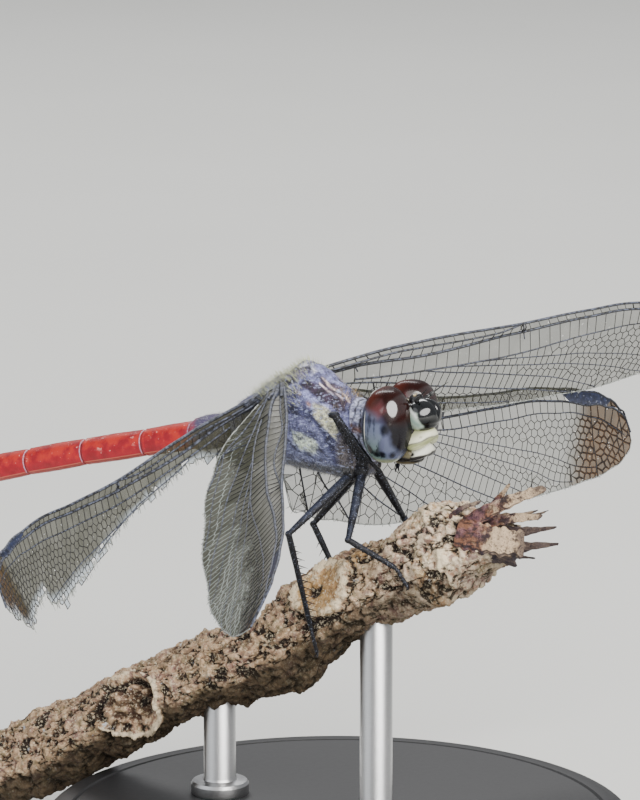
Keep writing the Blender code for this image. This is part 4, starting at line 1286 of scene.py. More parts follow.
@dataclass
class Thorax:
    """The thorax and the collar in front of it, with their plates, markings and coat."""

    rings: tuple = (
        ((-4.95, 0.7), (-4.95, -2.05), 1.05), ((-4.6, 1.1), (-4.3, -2.25), 1.5),
        ((-3.6, 1.78), (-3.2, -2.45), 1.95), ((-2.00, 2.85), (-1.5, -2.65), 2.3),
        ((-0.4, 3.85), (0.8, -2.8), 2.5), ((1.15, 4.25), (3.00, -3.00), 2.52),
        ((2.8, 3.4), (4.6, -3.00), 2.25), ((4.00, 2.6), (5.5, -2.6), 1.75),
        ((4.55, 1.75), (5.75, -2.05), 1.2))
    collar_rings: tuple = (
        ((4.1, 2.15), (5.5, -1.7), 1.25), ((4.75, 2.3), (5.6, -1.85), 1.55),
        ((5.3, 2.00), (5.95, -1.75), 1.45), ((5.75, 1.45), (6.15, -1.1), 0.95),
        ((6.2, 1.05), (6.3, -0.4), 0.55))
    seams: tuple = (
        ((0.6, 3.35), (1.3, 3.05), (2.25, 2.52), (3.2, 2.06), (3.9, 1.62), (4.7, 0.4)),
        ((-0.2, 2.3), (0.9, 1.95), (2.0, 1.62), (2.9, 0.75), (3.6, -0.35), (4.1, -1.9)),
        ((-2.6, 1.6), (-1.2, 1.15), (0.3, 0.55), (1.2, -0.15), (1.9, -1.35), (2.6, -2.4)),
        ((-4.3, 1.0), (-3.0, 1.9), (-1.6, 2.55), (0.0, 3.0), (0.9, 3.45)),
        ((-3.9, -1.0), (-2.0, -1.6), (0.0, -1.95), (1.6, -2.2), (4.2, -2.2)))
    # centre, reach and height of each swelling
    humps: tuple = (
        ((3.1, 1.9, 1.2), (0.8, 1.2, 0.8), 0.07), ((1.9, 2.2, -0.4), (0.9, 1.2, 0.7), 0.07),
        ((0.0, 2.3, 1.3), (1.2, 1.2, 0.7), 0.05), ((0.5, 0.0, 4.2), (0.7, 0.9, 0.6), 0.16),
        ((-0.9, 0.0, 3.6), (0.35, 0.8, 0.5), -0.16), ((-1.9, 0.0, 3.2), (0.6, 0.8, 0.6), 0.12),
        ((-0.2, 1.7, 3.1), (0.45, 0.4, 0.35), 0.14), ((-2.1, 1.7, 2.1), (0.5, 0.4, 0.35), 0.14),
        ((1.35, 0.9, 4.1), (0.2, 0.7, 0.4), 0.1), ((3.1, 0.0, 3.3), (1.6, 0.07, 1.2), 0.06))

    def relief(self, points: Array) -> Array:
        """Return the height of the plates and the seams between them."""
        height = -0.1 * sum(Marking((0, 0, 0), seam, 0.02, 0.11, uneven=0.03).cover(points)
                            for seam in self.seams)
        for centre, reach, rise in self.humps:
            height = height + rise * hump(points, centre, reach)
        return height + 0.018 * ripple(points, 3.0) + 0.01 * ripple(points, 7.0, 2.0)

    def finish(self) -> Material:
        """Return dusty cuticle in the colours kept on the skin, with creases and pores."""
        graph = Graph("thorax_bloom")
        place = graph.place()
        grain, wander = graph.noise(place, 7.0, 4.0, 0.65), graph.noise(place, 1.7, 4.0, 0.6)
        streak = graph.noise(graph.place((1.2, 1.0, 2.6)), 2.4, 4.0, 0.6)
        colour = graph.attribute("paint", True)
        for share, dark, light in ((wander.step(0.36, 0.62), (0.36, 0.35, 0.44), (1.65, 1.65, 1.58)),
                                   (grain.step(0.38, 0.62), (0.62, 0.6, 0.64), (1.3, 1.3, 1.28))):
            colour = graph.mix(1.0, colour, graph.mix(share, dark, light), "MULTIPLY")
        glint = graph.noise(place, 9.0, 2.0, 0.7).step(0.66, 0.72)
        colour = graph.layers(
            colour, (streak.step(0.54, 0.66) * 0.6, shade(168, 178, 220)),
            (streak.step(0.42, 0.32) * 0.65, shade(30, 28, 42)), (glint * 0.8, shade(226, 232, 244)))
        return graph.surface(Base_Color=colour, Roughness=0.36 + 0.35 * grain, Sheen_Weight=0.05,
                             Normal=graph.bump(streak + grain * 0.5, 0.18, 1.0))

    def collar_relief(self, points: Array) -> Array:
        """Return the lobes of the collar."""
        return 0.07 * np.sin(9.0 * points[:, 0] + 2.0 * points[:, 2]) + 0.02 * ripple(points, 4.0, 3.0)

    def build(self) -> Object:
        """Build the thorax and return its skin."""
        finish = self.finish()
        bm = ringed(self.rings, 170, 132, 1.12)
        push(bm, self.relief)
        chest = Piece("thorax_skin", "thorax_bloom", ("synthorax",)).finish(bm, finish)
        points = body_places(chest)
        lift = smooth_step(points[:, 2], -2.5, 3.5)[:, None]
        base = np.asarray(shade(82, 88, 118)) * (1.0 - lift) + np.asarray(shade(102, 104, 144)) * lift
        keep_colours(chest, "paint", painted(points, base, THORAX_MARKS))
        bm = ringed(self.collar_rings, 60, 72)
        push(bm, self.collar_relief)
        collar = Piece("collar_skin", "thorax_bloom", ("prothorax",)).finish(bm, finish)
        points = body_places(collar)
        stripes = [Marking((22, 20, 30), ((x, 2.4), (x + 0.3, 1.2), (x + 0.38, 0.3), (x + 0.6, -1.6)), 0.05,
                           0.05, uneven=0.16) for x in (4.75, 5.2, 5.62)]
        stripes.append(Marking((110, 78, 70), ((5.0, 0.75), (5.5, 0.55)), 0.16, 0.14))
        keep_colours(collar, "paint", painted(points, shade(162, 166, 194), stripes))
        return chest


THORAX_PILES = (
    Pile(shade(132, 124, 112), lambda p: 0.8 * smooth_step(p[:, 0], 4.0, 4.7)
         * smooth_step(p[:, 2], 0.5, -0.3), 0.38, 0.8, (0.3, 0.0, -0.8)),
    Pile(shade(120, 122, 126), lambda p: 0.7 * smooth_step(p[:, 2], -1.3, -2.2), 0.32, 0.6,
         (-0.7, 0.0, -1.0)),
    Pile(shade(182, 186, 140), lambda p: smooth_step(p[:, 0], 1.9, 0.2) * smooth_step(p[:, 2], 1.4, 2.4)
         * 0.9, 0.56, 0.85, (-0.8, 0.0, 0.6), 0.2),
    Pile(shade(150, 132, 86), lambda p: smooth_step(p[:, 0], 3.4, 4.1) * smooth_step(p[:, 2], 1.3, 2.0), 0.48,
         0.8, (0.2, 0.0, 1.0)),
    Pile(shade(104, 108, 130), lambda p: 0.22 + 0.0 * p[:, 0], 0.11, 0.3, (-0.5, 0.0, -1.0)),
    Pile(shade(150, 152, 150), lambda p: 0.45 * smooth_step(p[:, 0], -0.5, -2.5), 0.3, 0.55,
         (-1.0, 0.0, -0.4)))


@dataclass
class Abdomen:
    """The ringed abdomen and the claspers at its end."""

    front: tuple[float, float] = (-5.05, -0.85)
    # length, slope below level, half height at the belly and at the rear joint of each ring
    segments: tuple = (
        (1.0, 15.0, 1.18, 1.18), (2.3, 15.0, 1.25, 1.02), (4.1, 14.3, 1.03, 0.96), (5.1, 13.8, 1.01, 0.95),
        (4.9, 15.0, 1.02, 0.95), (4.8, 15.9, 1.02, 0.93), (4.2, 16.3, 1.00, 0.9), (2.7, 16.8, 0.95, 0.82),
        (1.9, 17.2, 0.86, 0.7), (1.0, 17.5, 0.7, 0.58))
    sides: int = 72

    def stations(self) -> tuple[Array, Array, Array, Array]:
        """Return the centre line, its half heights, the distance behind the front and that of the joints."""
        places, halves, joints = [], [], [0.0]
        joint = self.segments[0][2]
        for length, _, belly, rear in self.segments:
            start = joints[-1]
            places += [start + length * part for part in (0.0, 0.12, 0.5, 0.88)]
            halves += [joint, 0.5 * (joint + belly), belly, 0.5 * (rear + belly)]
            joints.append(start + length)
            joint = rear
        halves.append(joint)
        places.append(joints[-1])
        fine = np.arange(0.0, joints[-1], 0.13)
        close = np.concatenate([at + np.linspace(-0.4, 0.4, 21) for at in joints])
        stops = np.unique(np.clip(np.concatenate([fine, close]), 0.0, joints[-1]).round(4))
        slopes = np.radians([segment[1] for segment in self.segments])
        spans = np.clip(
            stops[:, None] - np.array(joints[:-1]), 0.0, [segment[0] for segment in self.segments])
        line = np.stack([self.front[0] - spans @ np.cos(slopes), np.zeros(len(stops)),
                         self.front[1] - spans @ np.sin(slopes)], axis=1)
        return line, np.interp(stops, places, halves), stops, np.array(joints)

    def build(self) -> Object:
        """Build the abdomen and return its skin."""
        line, halves, stops, joints = self.stations()
        gap = np.min(np.abs(stops[:, None] - joints[1:-1]), axis=1)
        behind = stops - joints[np.searchsorted(joints, stops, side="right") - 1]
        ahead = joints[np.minimum(np.searchsorted(joints, stops, side="right"), len(joints) - 1)] - stops
        halves = halves - 0.07 * bell(gap, 0.07) + 0.025 * bell(ahead - 0.2, 0.12)
        halves[[0, -1]] *= 0.5

        def relief(index: Array, turn: Array) -> Array:
            """Return the keels along the back and the lower sides, and the slack under the belly."""
            off_back = np.abs((turn + 0.5 * math.pi) % math.tau - math.pi)
            belly = np.abs((turn - 0.5 * math.pi) % math.tau - math.pi)
            side = np.abs(belly - math.radians(57.0))
            wave = 0.008 * np.sin(stops[index] * 5.0 + 3.0 * turn) * np.sin(stops[index] * 2.3)
            return 0.04 * bell(off_back, 0.07) + 0.05 * bell(side, 0.07) - 0.2 * bell(belly, 0.62) + wave

        bm = tube(line, halves * 0.98, self.sides, 1.0 / 0.98, relief=relief)
        piece = Piece("abdomen_skin", "abdomen_red", tuple(f"abdomen_segment_{n:02d}" for n in range(1, 11)),
                      crease=60.0).finish(bm, self.finish())
        along = read(piece.data.attributes["along"].data, "value", 1)[:, 0]
        index = np.clip(np.rint(along * (len(line) + 1)).astype(int) - 1, 0, len(line) - 1)
        height = (body_places(piece) - line[index])[:, 2] / halves[index]
        for name, numbers in (("joint_gap", gap[index]), ("behind", behind[index]),
                              ("from_front", stops[index]), ("height", height)):
            keep_numbers(piece, name, numbers)
        self.claspers(line[-1], unit(line[-1] - line[-4]))
        return piece

    def finish(self) -> Material:
        """Return satin scarlet with pale rings at the joints, grey at the base and dark at the end."""
        graph = Graph("abdomen_scarlet")
        place = graph.place()
        cloud, grain = graph.noise(place, 1.4, 4.0), graph.noise(place, 12.0)
        height, gap, run, behind = (graph.attribute(name)
                                    for name in ("height", "joint_gap", "from_front", "behind"))
        patch = graph.noise(graph.place((0.45, 1.0, 1.0)), 2.2, 4.0).step(0.62, 0.7)
        nick = graph.noise(place, 3.4, 2.0, 0.7).step(0.66, 0.72)
        grey = graph.mix(grain, shade(58, 50, 74), shade(100, 94, 124))
        base = (run + cloud * 1.2).step(4.4, 3.0)
        end = run.step(27.6, 28.6) * height.step(-0.5, 0.0) * 0.9
        red = graph.layers(
            (0.25, 0.0004, 0.008), (cloud.step(0.3, 0.7), (0.38, 0.001, 0.014)),
            # painted highlight: lighter orange patches, more of them towards the top
            ((cloud + height * 0.25).step(0.5, 0.75) * 0.55, (0.55, 0.034, 0.008)),
            (height.step(-0.45, -0.6), (0.3, 0.016, 0.005)),
            (height.near(-0.5, 0.06) * 0.6, shade(200, 120, 96)),
            (height.step(-0.8, -0.98), (0.05, 0.012, 0.01)),
            (height.near(0.99, 0.02) * 0.5, (0.22, 0.003, 0.008)),
            (patch * height.step(0.0, 0.4) * 0.75, shade(232, 164, 156)),
            (nick * height.step(-0.3, 0.2) * 0.6, shade(236, 176, 170)),
            (gap.step(0.34, 0.12) * 0.5, shade(150, 30, 40)),
            (behind.near(0.09, 0.05) * height.step(-0.75, -0.4) * (0.35 + 0.6 * grain.step(0.4, 0.6)),
             shade(170, 170, 196)), (gap.step(0.05, 0.0) * 0.9, shade(34, 22, 32)), (base, grey),
            (end, (0.03, 0.012, 0.014)))
        return graph.surface(
            Base_Color=red, Roughness=0.34 + 0.22 * cloud + base * 0.3, Coat_Weight=0.1 * (1.0 - base),
            Specular_IOR_Level=0.35, Normal=graph.bump(grain + graph.cells(place, 9.0) * 0.6, 0.022, 0.7))

    def claspers(self, end: Array, back: Array) -> None:
        """Build the claspers at the end of the abdomen."""
        graph = Graph("clasper_dark_red")
        grain = graph.noise(graph.place(), 6.0)
        finish = graph.surface(Base_Color=graph.mix(grain, (0.1, 0.012, 0.012), (0.3, 0.02, 0.02)),
                               Roughness=0.3 + 0.2 * grain, Normal=graph.bump(grain, 0.02))
        shares = np.linspace(0.0, 1.0, 12)
        for side in Side:
            across = np.array([0.0, 0.3 * side.value, 0.0])
            bow = np.array([0.0, 0.12 * side.value, 0.1])
            line = (end + across + (0.0, 0.0, 0.12) + shares[:, None] * back * 1.88
                    + np.sin(shares * math.pi)[:, None] * bow)
            radii = 0.13 + 0.1 * np.sin(shares * 2.4) ** 2 - 0.13 * shares ** 3
            Piece(f"clasper_{side.word}", "abdomen_red", (f"cercus_{side.word}",)).finish(
                tube(line, radii, 12, 0.8), finish)
        line = end + (0.0, 0.0, -0.3) + shares[:, None] * (back * 1.28 + (0.0, 0.0, 0.1))
        Piece("lower_clasper", "abdomen_red", ("epiproct",)).finish(
            tube(line, 0.24 - 0.1 * shares - 0.05 * shares ** 4, 12, 0.55), finish)


@dataclass
class Head:
    """The head: eyes, face plates, mouth, feelers and the capsule behind them."""

    eye_centre: tuple[float, float, float] = (7.82, 1.72, 1.22)
    eye_radii: tuple[float, float, float] = (1.62, 1.62, 2.52)
    capsule_rings: tuple = (
        ((6.42, 1.7), (6.42, -0.55), 0.9), ((6.9, 2.35), (6.85, -1.15), 1.35),
        ((7.8, 2.75), (7.8, -1.35), 1.3), ((8.9, 2.6), (8.9, -1.25), 1.2),
        ((9.35, 2.00), (9.35, -0.9), 0.95))

    def eye_finish(self) -> Material:
        """Return glossy faceted eye: maroon above, blue-grey with dark mottles below, pale at the rim."""
        graph = Graph("compound_eye")
        place = graph.place()
        x, y, z = graph.axes(place)
        off = graph.maths("ABSOLUTE", y)
        wander = graph.noise(place, 0.9)
        level = z + (wander - 0.5) * 0.5
        streak = graph.noise(graph.place((1.6, 1.6, 0.55)), 1.5, 3.0, 0.6)
        low = graph.layers(
            shade(96, 103, 126), (level.step(1.3, -0.6), shade(94, 112, 110)),
            (streak.step(0.5, 0.6) * (0.55 + 0.4 * level.step(0.7, -0.3)), shade(16, 28, 34)),
            ((x + (wander - 0.5)).step(8.05, 8.55) * 0.85, shade(82, 86, 112)),
            (level.near(1.8, 0.34) * 0.5, shade(36, 26, 44)))
        spots = (
            (7.36, 3.06, -0.25, 0.36), (7.72, 3.06, -0.55, 0.36), (8.2, 2.94, -0.52, 0.36),
            (8.72, 2.52, -0.45, 0.34), (7.2, 3.0, 0.75, 0.3), (8.5, 3.12, 1.25, 0.46),
            (8.8, 2.7, 0.15, 0.16))
        for spot_x, spot_y, spot_z, reach in spots:
            away = graph.away_from((x, off, z * 0.72), (spot_x, spot_y, spot_z * 0.72))
            low = graph.mix(
                (away + (wander - 0.5) * 0.35).step(reach, reach * 0.35) * 0.9, low, shade(7, 9, 14))
        front = (x + z * 0.2 + (wander - 0.5) * 0.5).step(8.75, 9.2)
        low = graph.layers(
            low, (front * 0.97, shade(12, 4, 8)), (level.step(-0.72, -1.05) * 0.9, shade(132, 138, 108)))
        top = graph.layers(
            (0.008, 0.002, 0.0016), (graph.noise(place, 1.2, 2.0), (0.022, 0.004, 0.0028)),
            (x.step(8.2, 7.0) * 0.8, (0.085, 0.015, 0.0075)))
        # painted sheen: a soft pink patch beside the place where the eye's highlight falls
        painted_sheen = (x.away(8.05) + z.away(2.5)).step(0.9, 0.15)
        colour = graph.layers(
            low, ((level + (x - 8.2) * 0.35).step(1.55, 2.4), top), (painted_sheen * 0.34, shade(126, 66, 72)),
            (x.step(6.75, 6.45), (0.015, 0.012, 0.012)))
        facets = graph.cells(place, 20.0)
        lozenge = x.away(8.83) * 1.15 + z.away(2.5) * 0.85
        gloss = (lozenge + (wander - 0.5) * 0.3).step(0.95, 0.6)
        return graph.surface(
            Base_Color=colour, Roughness=0.22 + 0.1 * wander, IOR=1.5, Specular_IOR_Level=0.12,
            Coat_Weight=0.09 + 0.9 * gloss, Coat_IOR=2.0, Coat_Roughness=0.09,
            Normal=graph.bump(facets, 0.006, 0.5))

    def painted_finish(self, name: str, roughness: float, metallic: float = 0.0, depth: float = 0.03,
                       coat: float = 0.2, gloss: float = 0.35) -> Material:
        """Return cuticle in the colours kept on the piece."""
        graph = Graph(name)
        place = graph.place()
        grain, wander = graph.noise(place, 10.0), graph.noise(place, 2.6)
        lacquer = graph.axes(place)[2].step(1.5, 2.1) * coat + 0.05
        colour = graph.mix(
            0.4, graph.attribute("paint", True), graph.mix(wander, (0.35, 0.35, 0.35), (0.68, 0.68, 0.68)),
            "OVERLAY")
        return graph.surface(
            Base_Color=colour, Roughness=roughness + 0.15 * grain, Metallic=metallic, Coat_Weight=lacquer,
            Coat_IOR=2.0, Coat_Roughness=0.1, Specular_IOR_Level=gloss,
            Normal=graph.bump(grain + wander * 0.6, depth, 0.7))

    def plate(self, name: str, slot: str, nodes: tuple[str, ...], bm: BMesh, finish: Material,
              base: Colour, marks: Sequence[Marking] = ()) -> Object:
        """Finish a painted piece.

        Args:
            name: its name.
            slot: its slot in the record.
            nodes: the nodes it stands for.
            bm: its shape.
            finish: its material.
            base: its ground colour.
            marks: what is drawn on it.

        Returns:
            The piece.
        """
        piece = Piece(name, slot, nodes).finish(bm, finish)
        keep_colours(piece, "paint", painted(body_places(piece), base, marks))
        return piece

    def eyes(self) -> None:
        """Build both eyes and the pale rim behind each."""
        finish = self.eye_finish()
        rim_finish = self.painted_finish("eye_rim_pale", 0.5)
        for side in Side:
            sign = side.value
            centre = np.array(self.eye_centre) * (1, sign, 1)

            def fullness(ways: Array) -> Array:
                """Return the eye's reach, fuller where the two eyes meet above and squarer at its flanks."""
                inner = np.exp(-(((ways - (-0.3, -0.82 * sign, 0.48)) ** 2).sum(axis=1)) / 0.35)
                square = (np.abs(ways) ** 2.25).sum(axis=1) ** (-1.0 / 2.25)
                return square * (1.0 + 0.24 * inner) - 0.05 * np.maximum(ways[:, 2], 0.0) ** 4

            bm = oval(centre, self.eye_radii, 60, 88, fullness)
            warp(bm, lambda at: np.c_[at[:, 0], sign * np.maximum(sign * at[:, 1], 0.03), at[:, 2]])
            Piece(f"eye_{side.word}_lens", "eye", (f"eye_{side.word}",)).finish(bm, finish)
            turn = np.linspace(0.0, math.tau, 72)
            for word, back, wide, thick, colour in (("pale", -0.86, 1.00, 0.035, shade(176, 176, 170)),
                                                    ("dark", -1.00, 0.93, 0.06, shade(16, 14, 16))):
                ring = centre + np.stack([np.full(72, back), 1.44 * wide * np.cos(turn),
                                          2.22 * wide * np.sin(turn)], axis=1)
                ring[:, 1] = sign * np.maximum(sign * ring[:, 1], 0.1)
                self.plate(f"eye_{side.word}_rim_{word}", "capsule_black", (),
                           tube(ring, np.full(72, thick), 8, up=(1, 0, 0)), rim_finish, colour)

    def frons(self) -> None:
        """Build the shiny forehead, lobed above and pale at its lower sides."""

        def shape(ways: Array) -> Array:
            """Return the forehead's lobes and its middle groove."""
            x, y, z = ways.T
            lobe = np.exp(-((x - 0.72) ** 2 + (np.abs(y) - 0.42) ** 2 + (z - 0.55) ** 2) / 0.1)
            groove = bell(y, 0.1) * smooth_step(z, -0.3, 0.3) * smooth_step(x, 0.0, 0.4)
            shelf = bell(z + 0.45, 0.1) * smooth_step(x, 0.2, 0.6)
            return 1.0 + 0.05 * lobe - 0.09 * groove - 0.03 * shelf

        marks = (
            Marking((158, 172, 160), ((9.0, 0.5), (10.05, 0.5), (10.12, 1.3), (9.85, 2.15), (9.2, 2.35)),
                    soft=0.1),
            Marking((190, 196, 192), ((9.2, 2.3), (9.7, 2.12), (9.85, 1.9)), 0.08, 0.08),
            Marking((116, 142, 134), ((9.35, 1.75), (9.85, 1.35)), 0.16, 0.16, 0.7),
            Marking((150, 158, 106), ((9.1, 0.78), (10.0, 0.85)), 0.14, 0.12),
            Marking((8, 10, 12), ((9.95, 0.9), (10.75, 1.15)), 0.22, 0.1))
        finish = self.painted_finish("frons_metal_black", 0.12, 0.0, 0.012, 0.6, 0.2)
        bm = oval((9.55, 0.0, 1.8), (1.18, 1.38, 1.12), 72, 96, shape)
        self.plate("frons_plate", "frons_metallic", ("frons",), bm, finish, (0.0015, 0.0022, 0.003), marks)

    def vertex(self) -> None:
        """Build the knob between the eyes with its three small lenses, and the hind wedge behind it."""
        finish = self.painted_finish("vertex_black", 0.24, 0.0, 0.03, 0.3)
        bm = oval((9.03, 0.0, 2.7), (0.5, 0.52, 0.5), 28, 40,
                  lambda ways: 1.0 - 0.1 * bell(ways[:, 1], 0.2) * smooth_step(ways[:, 2], 0.0, 0.6))
        for spot in ((9.45, 0.0, 2.62), (9.08, 0.46, 2.72), (9.08, -0.46, 2.72)):
            oval(spot, (0.12, 0.12, 0.12), 12, 16, into=bm)
        marks = (
            # painted highlight: the small cream spot on the top of the knob
            Marking((190, 170, 130), ((9.02, 3.12), (9.08, 3.15)), 0.05, 0.05),
            Marking((150, 120, 80), ((9.4, 2.6), (9.5, 2.64)), 0.1, 0.04))
        self.plate("vertex_knob", "frons_metallic", ("vertex",), bm, finish, (0.008, 0.008, 0.01), marks)
        wedge = oval((6.3, 0.0, 2.95), (0.34, 0.36, 0.3), 24, 32)
        self.plate("occiput_wedge", "capsule_black", (), wedge, finish, shade(150, 150, 160),
                   (Marking((16, 14, 16), ((6.0, 2.8), (6.5, 2.86)), 0.06, 0.06),))

    def feelers(self) -> None:
        """Build both feelers: two stout joints and a bristle."""
        finish = self.painted_finish("feeler_black", 0.35, 0.0, 0.01)
        for side in Side:
            root = np.array((9.35, 0.62 * side.value, 2.75))
            way = np.array((10.68, 1.33 * side.value, 3.88)) - root
            parts = np.array([0.0, 0.04, 0.12, 0.16, 0.19, 0.26, 0.3, 0.34, 0.5, 0.7, 0.85, 1.0])
            radii = np.array([0.13, 0.16, 0.15, 0.1, 0.13, 0.12, 0.07, 0.055, 0.045, 0.035, 0.026, 0.015])
            bow = np.sin(parts * math.pi)[:, None] * (0.06, 0.05 * side.value, 0.1)
            self.plate(f"feeler_{side.word}", "antenna_black", (f"antenna_{side.word}",),
                       tube(root + parts[:, None] * way + bow, radii, 10), finish, (0.012, 0.012, 0.013))

    def drooping(self, bm: BMesh, fall: float) -> BMesh:
        """Return a plate of the face, bent down by a fall at a millimetre from the middle."""
        return warp(bm, lambda at: at - np.outer(fall * np.abs(at[:, 1]) ** 1.4, (0.15, 0.0, 1.0)))

    def mouth(self) -> None:
        """Build the face shield, the upper lip, the jaws and the lower lip."""
        face = self.painted_finish("face_cream", 0.34, 0.0, 0.02, 0.35)

        def shield(ways: Array) -> Array:
            """Return the shield's step between its upper and lower plate."""
            x, y, z = ways.T
            step = bell(z + 0.3, 0.1) * smooth_step(x, 0.1, 0.5)
            pits = bell(np.abs(y) - 0.62, 0.12) * bell(z - 0.1, 0.2)
            return 1.0 - 0.05 * step - 0.04 * pits

        marks = (
            Marking((206, 206, 180), ((8.6, -0.35), (9.6, 0.3), (10.7, 0.8)), 0.24, 0.12),
            Marking((120, 124, 84), ((8.6, -0.62), (9.6, -0.05), (10.7, 0.42)), 0.13, 0.1, 0.85),
            Marking((34, 32, 26), ((8.6, -0.5), (9.6, 0.1), (10.7, 0.58)), 0.035, 0.05, 0.95),
            Marking((60, 56, 48), ((9.85, 0.52), (9.95, 0.5)), 0.03, 0.06, 0.7))
        bm = self.drooping(oval((9.45, 0.0, 0.58), (1.06, 1.42, 0.72), 60, 72, shield), 0.46)
        self.plate("clypeus_shield", "face_cream", ("clypeus",), bm, face, shade(166, 168, 134), marks)

        def lip(ways: Array) -> Array:
            """Return the lip's middle notch and its swollen edge."""
            notch = bell(ways[:, 1], 0.09) * smooth_step(ways[:, 2], 0.4, -0.6)
            return 1.0 - 0.06 * notch + 0.04 * bell(ways[:, 2] + 0.2, 0.3)

        marks = (
            Marking((18, 12, 11), ((8.4, -1.16), (9.4, -1.02), (10.0, -0.84), (10.5, -0.66)), 0.15, 0.05),
            Marking((18, 12, 11), ((8.4, -1.0), (9.0, -0.9), (9.35, -0.7)), 0.14, 0.08))
        bm = self.drooping(oval((9.36, 0.0, -0.46), (0.9, 1.14, 0.6), 52, 64, lip), 0.34)
        self.plate("labrum_lip", "face_cream", ("labrum",), bm, face, shade(200, 200, 186), marks)
        tan = self.painted_finish("jaw_tan", 0.38, 0.0, 0.02, 0.3)
        bm = oval((8.35, 0.0, -1.22), (1.15, 1.15, 0.4), 44, 56,
                  lambda ways: 1.0 - 0.07 * bell(ways[:, 1], 0.06) * smooth_step(ways[:, 2], 0.2, -0.3))
        self.plate("labium_lip", "labium_tan", ("labium",), bm, tan, shade(86, 78, 58),
                   (Marking((16, 11, 10), ((7.6, -1.05), (9.0, -1.12), (9.7, -1.25)), 0.16, 0.06),))
        for side in Side:
            bm = oval((8.86, 0.96 * side.value, -0.8), (0.55, 0.32, 0.46), 28, 36)
            self.plate(f"jaw_{side.word}", "labium_tan", (), bm, tan, shade(88, 82, 62),
                       (Marking((18, 13, 11), ((8.3, -1.05), (9.2, -1.14), (9.7, -1.1)), 0.13, 0.07),))

    def build(self) -> None:
        """Build the whole head."""
        capsule = ringed(self.capsule_rings, 60, 72)
        push(capsule, lambda points: 0.03 * ripple(points, 3.0, 1.0) - 0.02)
        self.plate("head_capsule_skin", "capsule_black", ("head_capsule",), capsule,
                   self.painted_finish("capsule_black", 0.4), shade(34, 30, 32),
                   (Marking((176, 160, 120), ((8.5, 2.75), (8.9, 2.65)), 0.06, 0.08, 0.8),))
        self.eyes()
        self.frons()
        self.vertex()
        self.feelers()
        self.mouth()


@dataclass(frozen=True)
class Leg:
    """One leg, from hip to claw."""

    name: str
    hip: tuple[float, float, float]
    knee: tuple[float, float, float]
    ankle: tuple[float, float, float]
    claw: tuple[float, float, float]
    folded: bool = False  # the shin folds back beside the thigh

    def spines(self, bm: BMesh, start: Array, stop: Array, away: Array, count: int, length: float,
               radius: float) -> None:
        """Add two rows of spines along a joint.

        Args:
            bm: the leg's bmesh.
            start: the first spine's place.
            stop: the last spine's place.
            away: the side that the rows point to.
            count: spines in a row.
            length: the longest spine.
            radius: the joint's radius, which the roots sink into.
        """
        run = stop - start
        ahead = unit(run)
        away = unit(away - ahead * (away @ ahead))
        beside = np.cross(ahead, away)
        for row in (-1, 1):
            for index in range(count):
                part = (index + 0.5 + 0.2 * row) / count
                way = unit(away + 0.55 * row * beside + 0.75 * ahead)
                size = length * (0.75 + 0.5 * math.sin(part * math.pi))
                foot = start + run * part + way * radius * 0.4
                turn = Vector(way).to_track_quat("Z", "Y").to_matrix().to_4x4()
                bmesh.ops.create_cone(bm, cap_ends=True, segments=5, radius1=0.052, radius2=0.007, depth=size,
                                      matrix=Matrix.Translation(Vector(foot + way * size * 0.5)) @ turn)

    def build(self, finish: Material) -> None:
        """Build the leg in one piece."""
        hip, knee, ankle, claw = (np.array(point) for point in (self.hip, self.knee, self.ankle, self.claw))
        side = 1.0 if self.name.endswith("left") else -1.0
        bm = bmesh.new()
        shares = np.linspace(0.0, 1.0, 12)[:, None]
        oval(hip + (0.0, 0.12 * side, 0.05), (0.52, 0.46, 0.56), 20, 28, into=bm)
        part = shares[:, 0]
        swell = 0.24 + 0.12 * np.sin(np.sqrt(part) * math.pi) ** 0.8 - 0.06 * part
        tube(hip + (knee - hip) * shares, swell, 12, 0.92, into=bm)
        shift = np.array((0.36, 0.42 * side, 0.25)) * (0.8 if self.folded else 0.0)
        start = knee + shift
        oval(knee + 0.5 * shift, (0.24 + abs(shift[0]) * 0.5, 0.24 + abs(shift[1]) * 0.5, 0.24), 14, 20,
             into=bm)
        swell = 0.205 - 0.05 * part + 0.02 * np.sin(part * 9.0) ** 2
        tube(start + (ankle - start) * shares, swell, 10, into=bm)
        foot = claw - ankle
        for first, last in ((0.0, 0.22), (0.24, 0.48), (0.5, 0.92)):
            places = ankle + foot * (first + (last - first) * np.linspace(0.0, 1.0, 6)[:, None])
            tube(places, (0.11, 0.14, 0.13, 0.13, 0.15, 0.12), 8, into=bm)
        ahead = unit(foot)
        beside = unit(np.cross(ahead, (0.0, 0.0, 1.0)))
        drop = unit(np.cross(beside, ahead))
        drop = drop if drop[2] < 0.0 else -drop
        for spread in (-1.0, 1.0):
            hook = claw - 0.08 * foot + np.array([
                ahead * reach + beside * spread * (0.05 + 0.35 * reach) + drop * sink
                for reach, sink in ((0.0, 0.0), (0.1, 0.02), (0.18, 0.07), (0.22, 0.16), (0.22, 0.24))])
            tube(hook, (0.07, 0.06, 0.05, 0.035, 0.01), 6, into=bm)
        inner = unit(np.array([0.3, -side, -0.6])) if not self.folded else unit(np.array([0.4, side, -0.4]))
        self.spines(
            bm, start + (ankle - start) * 0.12, ankle, inner, 11 if "hind" in self.name else 8, 0.74, 0.16)
        self.spines(bm, hip + (knee - hip) * 0.35, knee, inner, 9, 0.22, 0.3)
        nodes = tuple(f"{self.name}_{joint}" for joint in ("femur", "tibia", "tarsus"))
        Piece(f"{self.name}_limb", "leg_bloom", nodes).finish(bm, finish)


